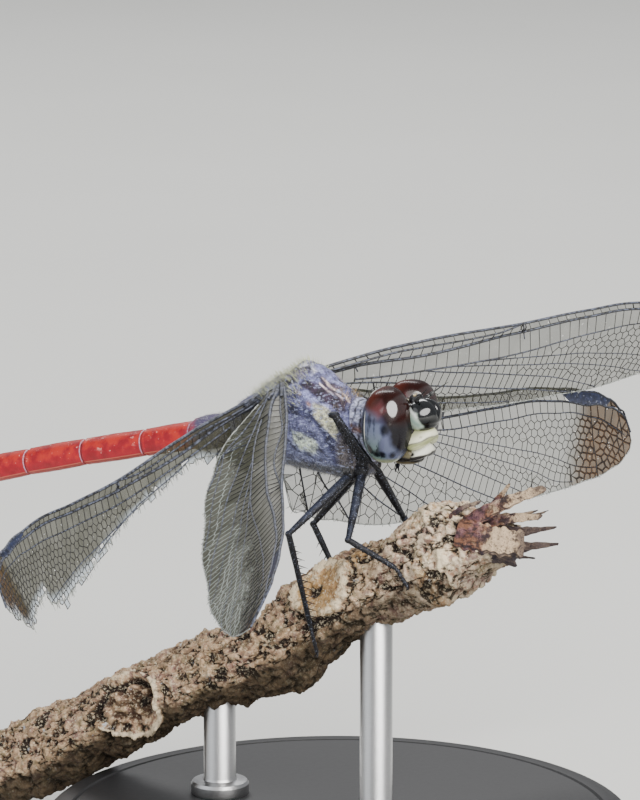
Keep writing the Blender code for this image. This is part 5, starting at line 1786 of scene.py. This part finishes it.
def leg_finish() -> Material:
    """Return black cuticle, blue-grey where it faces up, partly a dusting and partly painted light, with
    painted pale glints.
    """
    graph = Graph("leg_black_bloom")
    place = graph.place()
    grain, cloud = graph.noise(place, 11.0), graph.noise(place, 1.6)
    z = graph.axes(place)[2]
    thigh = z.step(-7.5, -5.0) * z.step(-1.5, -3.0)
    # partly dusting, partly painted light: upward faces, most of all on the thighs, turn blue-grey
    dust = graph.facing_up() + (cloud - 0.5) * 1.8 + (grain - 0.5) * 1.2
    bloom_and_light = dust.step(0.2, 1.1) * (0.09 + 0.22 * thigh)
    colour = graph.layers(
        (0.004, 0.004, 0.006), (bloom_and_light, shade(82, 90, 114)),
        # painted glints: small pale flecks
        (grain.step(0.6, 0.68) * 0.5, shade(150, 158, 180)))
    return graph.surface(
        Base_Color=colour, Roughness=0.36 + 0.3 * grain, Specular_IOR_Level=0.28,
        Normal=graph.bump(grain, 0.03, 0.8))


LEGS = (
    Leg("foreleg_right", (5.6, -1.0, -1.6), (4.4, -2.85, 1.65), (6.65, -1.95, -1.3), (7.00, -0.95, -2.35),
        True),
    Leg("midleg_right", (5.5, -1.0, -2.3), (6.8, -4.9, -6.00), (9.4, -3.2, -7.9), (10.35, -3.15, -9.1)),
    Leg("hindleg_right", (4.65, -1.0, -2.6), (3.4, -6.8, -5.65), (2.85, -3.3, -12.6), (3.1, -2.75, -14.8)),
    Leg("foreleg_left", (5.6, 1.0, -1.6), (4.4, 2.85, 1.65), (6.65, 1.95, -1.3), (7.00, 0.95, -2.35), True),
    Leg("midleg_left", (5.1, 1.0, -2.3), (5.5, 4.4, -6.6), (8.6, 3.15, -8.6), (9.5, 3.1, -10.2)),
    Leg("hindleg_left", (4.2, 1.0, -2.6), (-0.4, 2.3, -7.3), (2.4, 3.1, -13.2), (3.3, 2.8, -15.00)))


# ---- perch ----


@dataclass
class Perch:
    """The broken twig, its bark, its knot and the bud scales at its end."""

    line: tuple = (
        (-25.8, -28.1), (-21.5, -26.0), (-16.4, -23.1), (-8.1, -18.6), (-0.4, -14.85), (3.5, -11.9),
        (8.0, -9.2), (14.3, -6.3), (16.8, -5.6))
    radius: tuple = (
        (-25.8, 2.35), (-22.5, 2.7), (-15.5, 2.65), (-8.0, 2.66), (0.0, 2.65), (8.0, 2.75), (13.6, 2.5),
        (16.8, 1.0))
    lumps: tuple = (
        (4.6, 50.0, 1.7, 0.45), (1.6, 5.0, 1.8, 0.7), (-14.0, 75.0, 2.0, 0.5), (-1.0, 175.0, 1.6, 0.6),
        (-4.5, 10.0, 1.8, 0.5), (9.2, 150.0, 1.3, 0.4), (11.2, 20.0, 1.6, 0.4), (-20.0, 200.0, 2.2, 0.4),
        (11.1, 113.0, 0.8, 0.4), (10.8, 146.0, 0.9, 0.45), (12.9, 128.0, 0.55, 0.35))
    # root, tip, half width, the way its face looks, width left at the tip, how dark, the node it stands for
    scales: tuple = (
        ((13.4, -1.3, -4.9), (19.0, -0.7, -1.9), 0.56, (0.1, -1, 0.7), 0.5, 0.0, 1),
        ((14.5, 0.8, -3.7), (15.7, 0.9, -2.15), 0.24, (0, -1, 0.3), 0.3, 0.1, 2),
        ((14.2, -0.8, -4.9), (18.9, -0.6, -3.85), 0.5, (0, -1, 0.7), 0.3, 0.1, 3),
        ((14.6, -0.4, -5.5), (20.3, -1.0, -4.2), 0.5, (0, -1, 0.5), 0.08, 1.0, 4),
        ((14.4, -0.9, -7.0), (20.6, -1.0, -5.3), 0.55, (0, -1, 0.2), 0.08, 1.0, 5),
        ((13.3, -1.9, -5.3), (17.9, -1.5, -5.55), 0.98, (0.1, -1, 0.35), 0.85, 0.0, 0),
        ((13.5, -1.5, -6.7), (17.3, -1.2, -6.75), 0.8, (0.1, -1, -0.5), 0.7, 0.45, 0),
        ((14.6, 0.3, -4.6), (18.0, 0.5, -3.7), 0.6, (0, 0, 1), 0.3, 0.3, 0),
        ((14.0, 0.4, -7.6), (17.6, 0.7, -7.0), 0.55, (0, -0.6, -1), 0.2, 0.8, 0),
        ((16.2, 0.3, -4.5), (19.0, 0.3, -3.5), 0.22, (0, -1, 0.2), 0.08, 0.8, 0),
        ((12.3, -1.2, -4.5), (14.1, -0.5, -3.5), 0.32, (-0.4, -0.6, 1), 0.5, 0.7, 0))
    knot: tuple[float, float] = (-12.3, 88.0)  # place along X, angle from up towards the right side
    wart: tuple[float, float] = (4.1, 58.0)
    ochre_spots: tuple = ((11.1, 113.0), (10.8, 146.0))
    girth: float = 2.5  # radius at which the bark is measured round
    seed: int = 1  # of the noise that bends the fibres
    columns: int = 470
    sides: int = 196

    def around_from(self, place: Array, turn: Array, spot: tuple[float, float]) -> tuple[Array, Array]:
        """Return how far along and how far round the twig each place lies from a spot, in millimetres."""
        round_it = (turn - math.radians(spot[1]) + math.pi) % math.tau - math.pi
        return place - spot[0], round_it * self.girth

    def bark(self, points: Array, place: Array, turn: Array) -> tuple[Array, ...]:
        """Work out the bark.

        Args:
            points: places on the smooth twig.
            place: how far along X each lies.
            turn: its angle from up towards the right side.

        Returns:
            Its height, the height its colour goes by, the painted shade in its cracks and hollows, how ochre
            it is, and the painted shade on its underside.
        """
        noise.seed_set(self.seed)
        height, deep = np.empty(len(points)), np.empty(len(points))
        fibres = np.stack([place, self.girth * np.cos(turn), self.girth * np.sin(turn)], axis=1)
        for index, (point, fibre) in enumerate(zip(points, fibres)):
            spot, fibre = Vector(point), Vector(fibre)
            bend = noise.noise_vector(spot * 1.1) * 0.45
            near, next_near = noise.voronoi((spot + bend) * 1.25)[0][:2]
            swell = noise.fractal(spot * 0.5, 1.0, 2.0, 4)
            knobs = max(0.0, noise.fractal(spot * 0.7 + Vector((9.0, 3.0, 1.0)), 1.0, 2.0, 2) + 0.12)
            crumb = noise.fractal((fibre + bend) * 1.45, 0.8, 2.1, 5)
            grooves = noise.fractal(Vector((fibre.x * 0.45, fibre.y * 1.2, fibre.z * 1.2)), 0.9, 2.0, 3)
            split = 1.0 - min(1.0, abs(grooves) * 6.0)
            bead = max(0.0, 1.0 - near * 1.6)
            height[index] = 0.22 * swell + 0.3 * min(knobs, 0.8) * bead + 0.26 * crumb - 0.2 * split
            # painted shade: grooves, gaps between the beads and dips darken the colour
            deep[index] = max(
                split, 0.8 * (1.0 - min(1.0, (next_near - near) * 4.0)) * min(1.0, knobs * 2.0), -crumb * 2.0)
        along, across = self.around_from(place, turn, self.knot)
        angle = np.arctan2(across, along)
        away = np.hypot(along / 1.2, across) * (1.0 + 0.1 * np.sin(angle * 3.0 + 0.8)
                                                + 0.05 * np.sin(angle * 7.0))
        inside = smooth_step(away, 1.95, 1.55)
        swirl = 0.1 * np.sin(away * 8.0 + angle * 2.0) + 0.22 * ripple(points, 2.2, 2.0)
        # The crack is a crescent inside one side of the knot's rim, dark as painted shadow.
        crack = bell(away - 1.6, 0.24) * smooth_step(-across - 0.3 * along, -0.6, 0.9)
        lip = 0.25 + 0.75 * smooth_step(across + 0.45 * along, -1.0, 0.5)
        hollow = smooth_step(np.hypot(along - 0.9, across - 0.15), 0.75, 0.3)
        rim = lip * bell(away - 2.05, 0.12)
        # painted shade: the colour darkens towards the underside of the twig, though not in the knot
        below = -np.cos(turn) - 0.9 * smooth_step(away, 2.3, 2.1)
        height += (0.42 * rim + 0.1 * smooth_step(away, 2.9, 2.1) - 0.42 * inside
                   + swirl * inside - 0.34 * crack - 0.3 * hollow)
        # painted shade inside the knot, in its crack and hollow, and in a ring outside one side of its rim
        deep = np.maximum(deep * (1.0 - 0.5 * inside) + 0.16 * inside, np.maximum(1.1 * crack, 0.9 * hollow))
        deep = np.maximum(deep, 0.8 * bell(away - 2.4, 0.12) * smooth_step(across, -0.2, 1.0))
        along, across = self.around_from(place, turn, self.wart)
        angle = np.arctan2(across, along)
        away = np.hypot(along / 1.25, across) * (1.0 + 0.05 * np.sin(angle * 3.0 + 1.0)
                                                 + 0.025 * np.sin(angle * 37.0))
        pit = smooth_step(np.hypot(along + 0.55, across + 0.25), 0.75, 0.35)
        knob = smooth_step(np.hypot(along + 0.4, across + 0.65), 0.42, 0.15)
        bowl = smooth_step(away, 1.65, 1.45)
        height = (height * (1.0 - 0.7 * bowl) + 0.42 * smooth_step(away, 1.78, 1.62)
                  - 0.3 * smooth_step(away, 1.5, 0.7) - 0.28 * pit + 0.34 * knob)
        # painted shade in a ring round the wart's rim and in the pit beside its knob
        deep = np.maximum(
            deep * (1.0 - bowl), np.maximum(0.95 * bell(away - 1.88, 0.13), 0.9 * pit * (1 - knob)))
        collar = bell(place - 13.1 - 0.35 * np.sin(turn * 2.0 + 1.0), 0.22)
        collar += 0.7 * bell(place - 12.1 + 0.3 * np.sin(turn * 3.0), 0.25)
        ochre = bowl + smooth_step(np.hypot(along - 2.6, across + 1.2), 1.1, 0.5)
        for spot in self.ochre_spots:
            ochre += 0.8 * smooth_step(np.hypot(*self.around_from(place, turn, spot)), 1.0, 0.4)
        height += 0.34 * collar - 0.16
        return height, height + 0.22 * inside + 0.4 * rim, np.clip(deep, 0.0, 1.0), ochre, below

    def build_twig(self) -> None:
        """Build the twig."""
        line, radius = Curve(self.line), Curve(self.radius)
        first, last = self.line[0][0], self.line[-1][0]
        stops = np.r_[first, np.linspace(first, last, self.columns - 1), last]
        reach = np.r_[0.0, np.ones(self.columns - 1), 0.0]
        kept = dict.fromkeys(("deep", "high", "ochre", "below"))

        def surface(along: Array, around: Array) -> Array:
            """Return points of the bark."""
            index = np.rint(along * self.columns).astype(int)
            place, turn = stops[index], around * math.tau
            rise = line(place + 0.5) - line(place - 0.5)
            run = np.minimum(place + 0.5, last) - np.maximum(place - 0.5, first)
            ahead = unit(np.stack([run, np.zeros(len(run)), rise], axis=1))
            up = np.stack([-ahead[:, 2], np.zeros(len(run)), ahead[:, 0]], axis=1)
            centre = np.stack([place, np.zeros(len(place)), line(place)], axis=1)
            out = up * np.cos(turn)[:, None] - np.outer(np.sin(turn), (0.0, 1.0, 0.0))
            reach_out = (radius(place) + 0.16 * np.sin(3 * turn + 0.55 * place)
                         + 0.1 * np.sin(2 * turn - 0.9 * place + 1.0) + 0.08 * np.sin(5 * turn + 1.7 * place))
            for lump_place, lump_turn, spread, lump in self.lumps:
                along_it, across_it = self.around_from(place, turn, (lump_place, lump_turn))
                reach_out = reach_out + lump * np.exp(-(along_it ** 2 + across_it ** 2) / spread ** 2)
            smooth = centre + out * reach_out[:, None]
            whole = np.abs(around - 1.0) < 1e-6
            height, crest, deep, ochre, below = self.bark(smooth, place, np.where(whole, 0.0, turn))
            kept.update(deep=deep, high=crest, ochre=ochre, below=below)
            return centre + out * ((reach_out + height) * reach[index])[:, None]

        bm = skin(surface, self.columns, self.sides, kept=kept)
        Piece("twig_bark", "bark", ("perch_twig",), crease=180.0).finish(bm, self.bark_finish())

    def bark_finish(self) -> Material:
        """Return weathered bark, tan and cream on its crests, with painted shade in its cracks, hollows and
        underside and painted light at its sunny right end.
        """
        graph = Graph("weathered_bark")
        place = graph.place()
        deep, high = graph.attribute("deep"), graph.attribute("high")
        patch, grain = graph.noise(place, 0.42, 4.0), graph.noise(place, 6.0, 4.0, 0.7)
        fine, blotch = graph.noise(place, 2.6, 5.0, 0.65), graph.noise(place, 1.1, 4.0, 0.6)
        crumbs = graph.cells(place, 2.5)
        # painted light: the right end of the twig counts as sunlit, with paler crests and lighter shade
        sunny = graph.axes(place)[0].step(4.0, 11.0)
        # painted shade under the twig
        below = graph.attribute("below") + (patch - 0.5) * 0.6 + (blotch - 0.5) * 0.5
        colour = graph.layers(
            shade(176, 136, 114), (patch.step(0.38, 0.62), shade(202, 168, 128)),
            (fine.step(0.38, 0.54) * 0.9, graph.mix(sunny, shade(208, 176, 142), shade(232, 212, 186))),
            (blotch.step(0.54, 0.64) * 0.65, shade(130, 94, 98)),
            (blotch.step(0.46, 0.38) * 0.6, shade(112, 106, 74)),
            (graph.attribute("ochre") * (0.35 + fine * 0.6), shade(180, 138, 76)),
            # painted shade in the low places and the cracks of the bark
            ((high + (grain - 0.5) * 0.5).step(-0.14, -0.42) * 0.85, shade(70, 48, 38)),
            ((deep + (grain - 0.5) * 0.5).step(0.48, 0.84) * 0.95, shade(22, 16, 15)),
            ((high + (fine - 0.5) * 0.9).step(0.06, 0.26) * 0.85, shade(248, 228, 194)),
            ((crumbs + (grain - 0.5) * 0.6).step(0.3, 0.14) * 0.55, shade(240, 220, 186)),
            ((crumbs + (grain - 0.5) * 0.6).step(0.52, 0.68) * (0.42 - 0.35 * sunny), shade(66, 47, 40)),
            (grain.step(0.54, 0.66) * 0.7, shade(250, 236, 206)),
            (grain.step(0.43, 0.33) * (0.68 - 0.3 * sunny), shade(48, 34, 30)),
            (graph.noise(place, 0.9, 5.0, 0.7).step(0.64, 0.7) * 0.8, shade(206, 214, 224)),
            # painted shade on the underside, lighter at the sunlit right end
            (below.step(0.12, 0.5) * (0.86 - 0.34 * sunny), shade(46, 39, 26)))
        return graph.surface(Base_Color=colour, Roughness=0.72 + 0.2 * grain, Specular_IOR_Level=0.3,
                             Normal=graph.bump(grain + fine - crumbs * 0.5, 0.2, 1.0))

    def build_scales(self) -> None:
        """Build the pointed bud scales, with painted shade on the faces that look down."""
        graph = Graph("bud_scale_pink_brown")
        place = graph.place((0.35, 1.6, 1.6))
        streak, grain = graph.noise(place, 2.4, 4.0), graph.noise(graph.place(), 7.0)
        along, coarse = graph.attribute("along"), graph.noise(graph.place(), 1.3, 4.0, 0.65)
        colour = graph.layers(
            shade(74, 46, 34), (streak.step(0.42, 0.58), shade(124, 84, 64)),
            (graph.noise(graph.place(), 0.9).step(0.45, 0.6) * 0.6, shade(112, 78, 92)),
            ((along + (coarse - 0.5) * 1.2).step(0.28, 0.66) * 0.85, shade(206, 180, 148)),
            (graph.attribute("tone") * (0.6 + coarse * 0.5), shade(48, 36, 46)),
            (coarse.step(0.48, 0.38) * 0.85, shade(40, 28, 32)),
            (grain.step(0.56, 0.66) * 0.7, shade(46, 30, 32)),
            ((along + (coarse - 0.5) * 0.5).step(0.86, 0.97) * 0.8, shade(48, 34, 38)),
            # painted shade: faces that look down turn dark purple
            (graph.facing_up().step(0.15, -0.4) * 0.85, shade(36, 28, 40)))
        finish = graph.surface(Base_Color=colour, Roughness=0.5 + 0.3 * grain,
                               Normal=graph.bump(streak + grain * 0.5, 0.24, 1.0))
        for number, (root, tip, half, lie, end, tone, node) in enumerate(self.scales, start=1):
            root, tip = np.array(root), np.array(tip)
            shares = np.linspace(0.0, 1.0, 40)
            bow = np.outer(np.sin(shares * math.pi), (0.0, 0.0, 0.2 if number % 2 else -0.1))
            radii = half * np.interp(shares, (0.0, 0.2, 0.5, 0.97, 1.0),
                                     (0.85, 1.0, 0.5 + 0.5 * end ** 0.5, end, 0.8 * end))
            radii = radii * (1.0 + 0.12 * np.sin(shares * 21.0 + 2.0 * number) * shares
                             + 0.08 * np.sin(shares * 47.0))
            turned = unit(tip - root)

            def relief(index: Array, turn: Array) -> Array:
                """Return the scale's ribs and its hollow upper face."""
                ribs = 0.05 * np.sin(turn * 9.0 + number + 3.0 * shares[index]) * half
                return ribs - 0.24 * radii[index] * bell(turn - 0.5 * math.pi, 0.6)

            def frayed(points: Array) -> Array:
                """Return the points with the scale's tip drawn out unevenly."""
                part = (points - root) @ turned / np.linalg.norm(tip - root)
                return points + np.outer(0.35 * ripple(points, 2.4, number) * smooth_step(part, 0.75, 1.0),
                                         turned)

            bm = tube(root + (tip - root) * shares[:, None] + bow, radii, 44, 0.34, lie, relief=relief)
            nodes = (f"perch_bud_scale_{node}",) if node else ()
            piece = Piece(f"bud_scale_{number}", "bark", nodes).finish(warp(bm, frayed), finish)
            keep_numbers(piece, "tone", np.full(len(piece.data.vertices), tone))

    def build(self) -> None:
        """Build the perch."""
        self.build_twig()
        self.build_scales()


# ---- stand ----


@dataclass
class Stand:
    """The round base and its rods."""

    radius: float = 20.0
    thickness: float = 5.0
    rod_radius: float = 1.1
    rods: tuple[tuple[float, float], ...] = ((-6.5, -17.5), (6.0, -10.4))  # place along X, height of the top

    def turned(self, profile: Sequence[tuple[float, float]], middle: tuple[float, float],
               steps: int) -> BMesh:
        """Turn a profile of (radius, height) round an upright axis at a place in the shared frame."""
        bm = bmesh.new()
        verts = [bm.verts.new((radius + middle[0], middle[1], height)) for radius, height in profile]
        edges = [bm.edges.new(pair) for pair in zip(verts, verts[1:])]
        bmesh.ops.spin(bm, geom=verts + edges, cent=(*middle, 0.0), axis=(0, 0, 1), angle=math.tau,
                       steps=steps, use_merge=True)
        bmesh.ops.remove_doubles(bm, verts=bm.verts, dist=1e-4)
        return bm

    def build(self) -> None:
        """Build the base and the rods."""
        graph = Graph("stand_satin_black")
        grain = graph.noise(graph.place(), 3.0)
        black = graph.surface(Base_Color=graph.mix(grain, (0.02, 0.02, 0.021), (0.032, 0.032, 0.034)),
                              Roughness=0.42 + 0.12 * grain, Normal=graph.bump(grain, 0.02, 0.3))
        edge, top = self.radius, self.thickness
        profile = (
            (0.0, 0.0), (edge - 0.8, 0.0), (edge - 0.25, 0.2), (edge, 0.8), (edge, top - 0.8),
            (edge - 0.25, top - 0.2), (edge - 0.8, top), (edge - 1.6, top), (edge - 1.75, top - 0.15),
            (edge - 1.9, top), (0.0, top))
        none = np.zeros(3)
        Piece("stand_disc", "stand_black", ("stand_base",), crease=35.0).finish(
            self.turned(profile, (0.0, 0.0), 144), black, none)
        graph = Graph("stand_brushed_steel")
        brush = graph.noise(graph.place((1.0, 1.0, 14.0)), 2.0)
        steel = graph.surface(Base_Color=graph.mix(brush, (0.5, 0.5, 0.51), (0.68, 0.68, 0.68)), Metallic=1.0,
                              Roughness=0.24 + 0.16 * brush, Normal=graph.bump(brush, 0.02, 0.3))
        for number, (place, height) in enumerate(self.rods, start=1):
            thin, foot, end = self.rod_radius, top + 0.02, BODY[2] + height
            profile = (
                (0.0, foot), (1.9, foot), (2.0, foot + 0.15), (2.0, foot + 0.7), (1.85, foot + 0.9),
                (thin + 0.1, foot + 1.0), (thin, foot + 1.2), (thin, end - 0.3), (thin - 0.2, end),
                (0.0, end))
            Piece(f"stand_pin_{number}", "stand_steel", (f"stand_rod_{number}",), crease=35.0).finish(
                self.turned(profile, (place + BODY[0], 0.0), 40), steel, none)


# ---- studio ----


@dataclass
class Studio:
    """The floor, the soft lights and the camera."""

    azimuth: float = 32.0
    elevation: float = 12.0
    distance: float = 330.0
    aim_right: float = 1.3333
    aim_up: float = 1.6667
    lens: float = 222.75
    floor_reach: float = 4.0  # metres

    def axes(self) -> tuple[Vector, Vector, Vector]:
        """Return the view's right, up and forward directions."""
        turn, tilt = math.radians(self.azimuth), math.radians(self.elevation)
        right = Vector((math.cos(turn), math.sin(turn), 0.0))
        ahead = Vector((-math.sin(turn) * math.cos(tilt), math.cos(turn) * math.cos(tilt), -math.sin(tilt)))
        return right, right.cross(ahead), ahead

    def camera(self) -> None:
        """Set the camera."""
        right, up, ahead = self.axes()
        aim = Vector(BODY) + right * self.aim_right + up * self.aim_up
        data = bpy.data.cameras.new("camera")
        data.lens = self.lens
        data.clip_start, data.clip_end = 0.01, 20.0
        camera = bpy.data.objects.new("camera", data)
        turned = Matrix((right, up, -ahead)).transposed().to_4x4()
        camera.matrix_world = Matrix.Translation((aim - ahead * self.distance) * MM) @ turned
        bpy.context.scene.collection.objects.link(camera)
        bpy.context.scene.camera = camera

    def floor(self) -> None:
        """Lay the pale floor."""
        bm = bmesh.new()
        bmesh.ops.create_grid(bm, x_segments=2, y_segments=2, size=self.floor_reach)
        mesh = bpy.data.meshes.new("floor")
        bm.to_mesh(mesh)
        bm.free()
        floor = bpy.data.objects.new("floor", mesh)
        graph = Graph("floor_paper")
        grain = graph.noise(graph.place(), 0.02, 2.0)
        colour = graph.mix(grain, (0.74, 0.74, 0.71), (0.8, 0.8, 0.77))
        mesh.materials.append(graph.surface(Base_Color=colour, Roughness=0.85))
        bpy.context.scene.collection.objects.link(floor)

    def light(self, name: str, right: float, up: float, back: float, size: tuple[float, float], power: float,
              colour: Colour = (1.0, 1.0, 1.0)) -> None:
        """Add a soft light, placed from the view's axes.

        Args:
            name: its name.
            right: millimetres to the right of the insect.
            up: millimetres above it.
            back: millimetres towards the camera.
            size: width and height of the light in millimetres.
            power: watts.
            colour: its colour.
        """
        view_right, _, ahead = self.axes()
        flat = Vector((ahead.x, ahead.y, 0.0)).normalized()
        middle = Vector(BODY)
        spot = middle + view_right * right + Vector((0, 0, up)) - flat * back
        data = bpy.data.lights.new(name, "AREA")
        data.shape, data.energy, data.color = "ELLIPSE", power, colour
        data.size, data.size_y = size[0] * MM, size[1] * MM
        lamp = bpy.data.objects.new(name, data)
        lamp.location = spot * MM
        lamp.rotation_mode = "QUATERNION"
        lamp.rotation_quaternion = (middle - spot).to_track_quat("-Z", "Y")
        bpy.context.scene.collection.objects.link(lamp)

    def build(self) -> None:
        """Set up the studio."""
        self.camera()
        self.floor()
        self.light("key", 200.0, 290.0, 370.0, (600.0, 500.0), 6.4, (1.0, 0.98, 0.95))
        self.light("fill", -420.0, 260.0, 200.0, (640.0, 640.0), 1.0, (0.94, 0.97, 1.0))
        self.light("rim", -60.0, 360.0, -380.0, (420.0, 110.0), 1.3)
        world = bpy.data.worlds.new("soft_room")
        world.use_nodes = True
        world.node_tree.nodes["Background"].inputs["Color"].default_value = (0.95, 0.97, 1.0, 1.0)
        world.node_tree.nodes["Background"].inputs["Strength"].default_value = 0.34
        bpy.context.scene.world = world


def main() -> None:
    """Build the whole scene."""
    logging.basicConfig(level=logging.INFO, format="%(message)s", stream=sys.stdout)
    Studio().build()
    finishes = WingFinishes()
    for wing in WINGS:
        wing.build(finishes)
    hair = hair_finish()
    chest = Thorax().build()
    Coat("thorax_coat", "thorax_bloom", THORAX_PILES, 9000).grow(chest, round_the_body(-5.0, 6.0, 0.4), hair)
    abdomen = Abdomen().build()
    base_pile = Pile(
        shade(150, 148, 164), lambda p: smooth_step(p[:, 0], -8.6, -6.5), 0.26, 0.5, (-1.0, 0.0, -0.4), 0.0)
    Coat("abdomen_coat", "abdomen_base", (base_pile,), 9000, seed=6).grow(
        abdomen, round_the_body(-37.0, -5.0, -5.0), hair)
    Head().build()
    limbs = leg_finish()
    for leg in LEGS:
        leg.build(limbs)
    Perch().build()
    Stand().build()


if __name__ == "__main__":
    main()
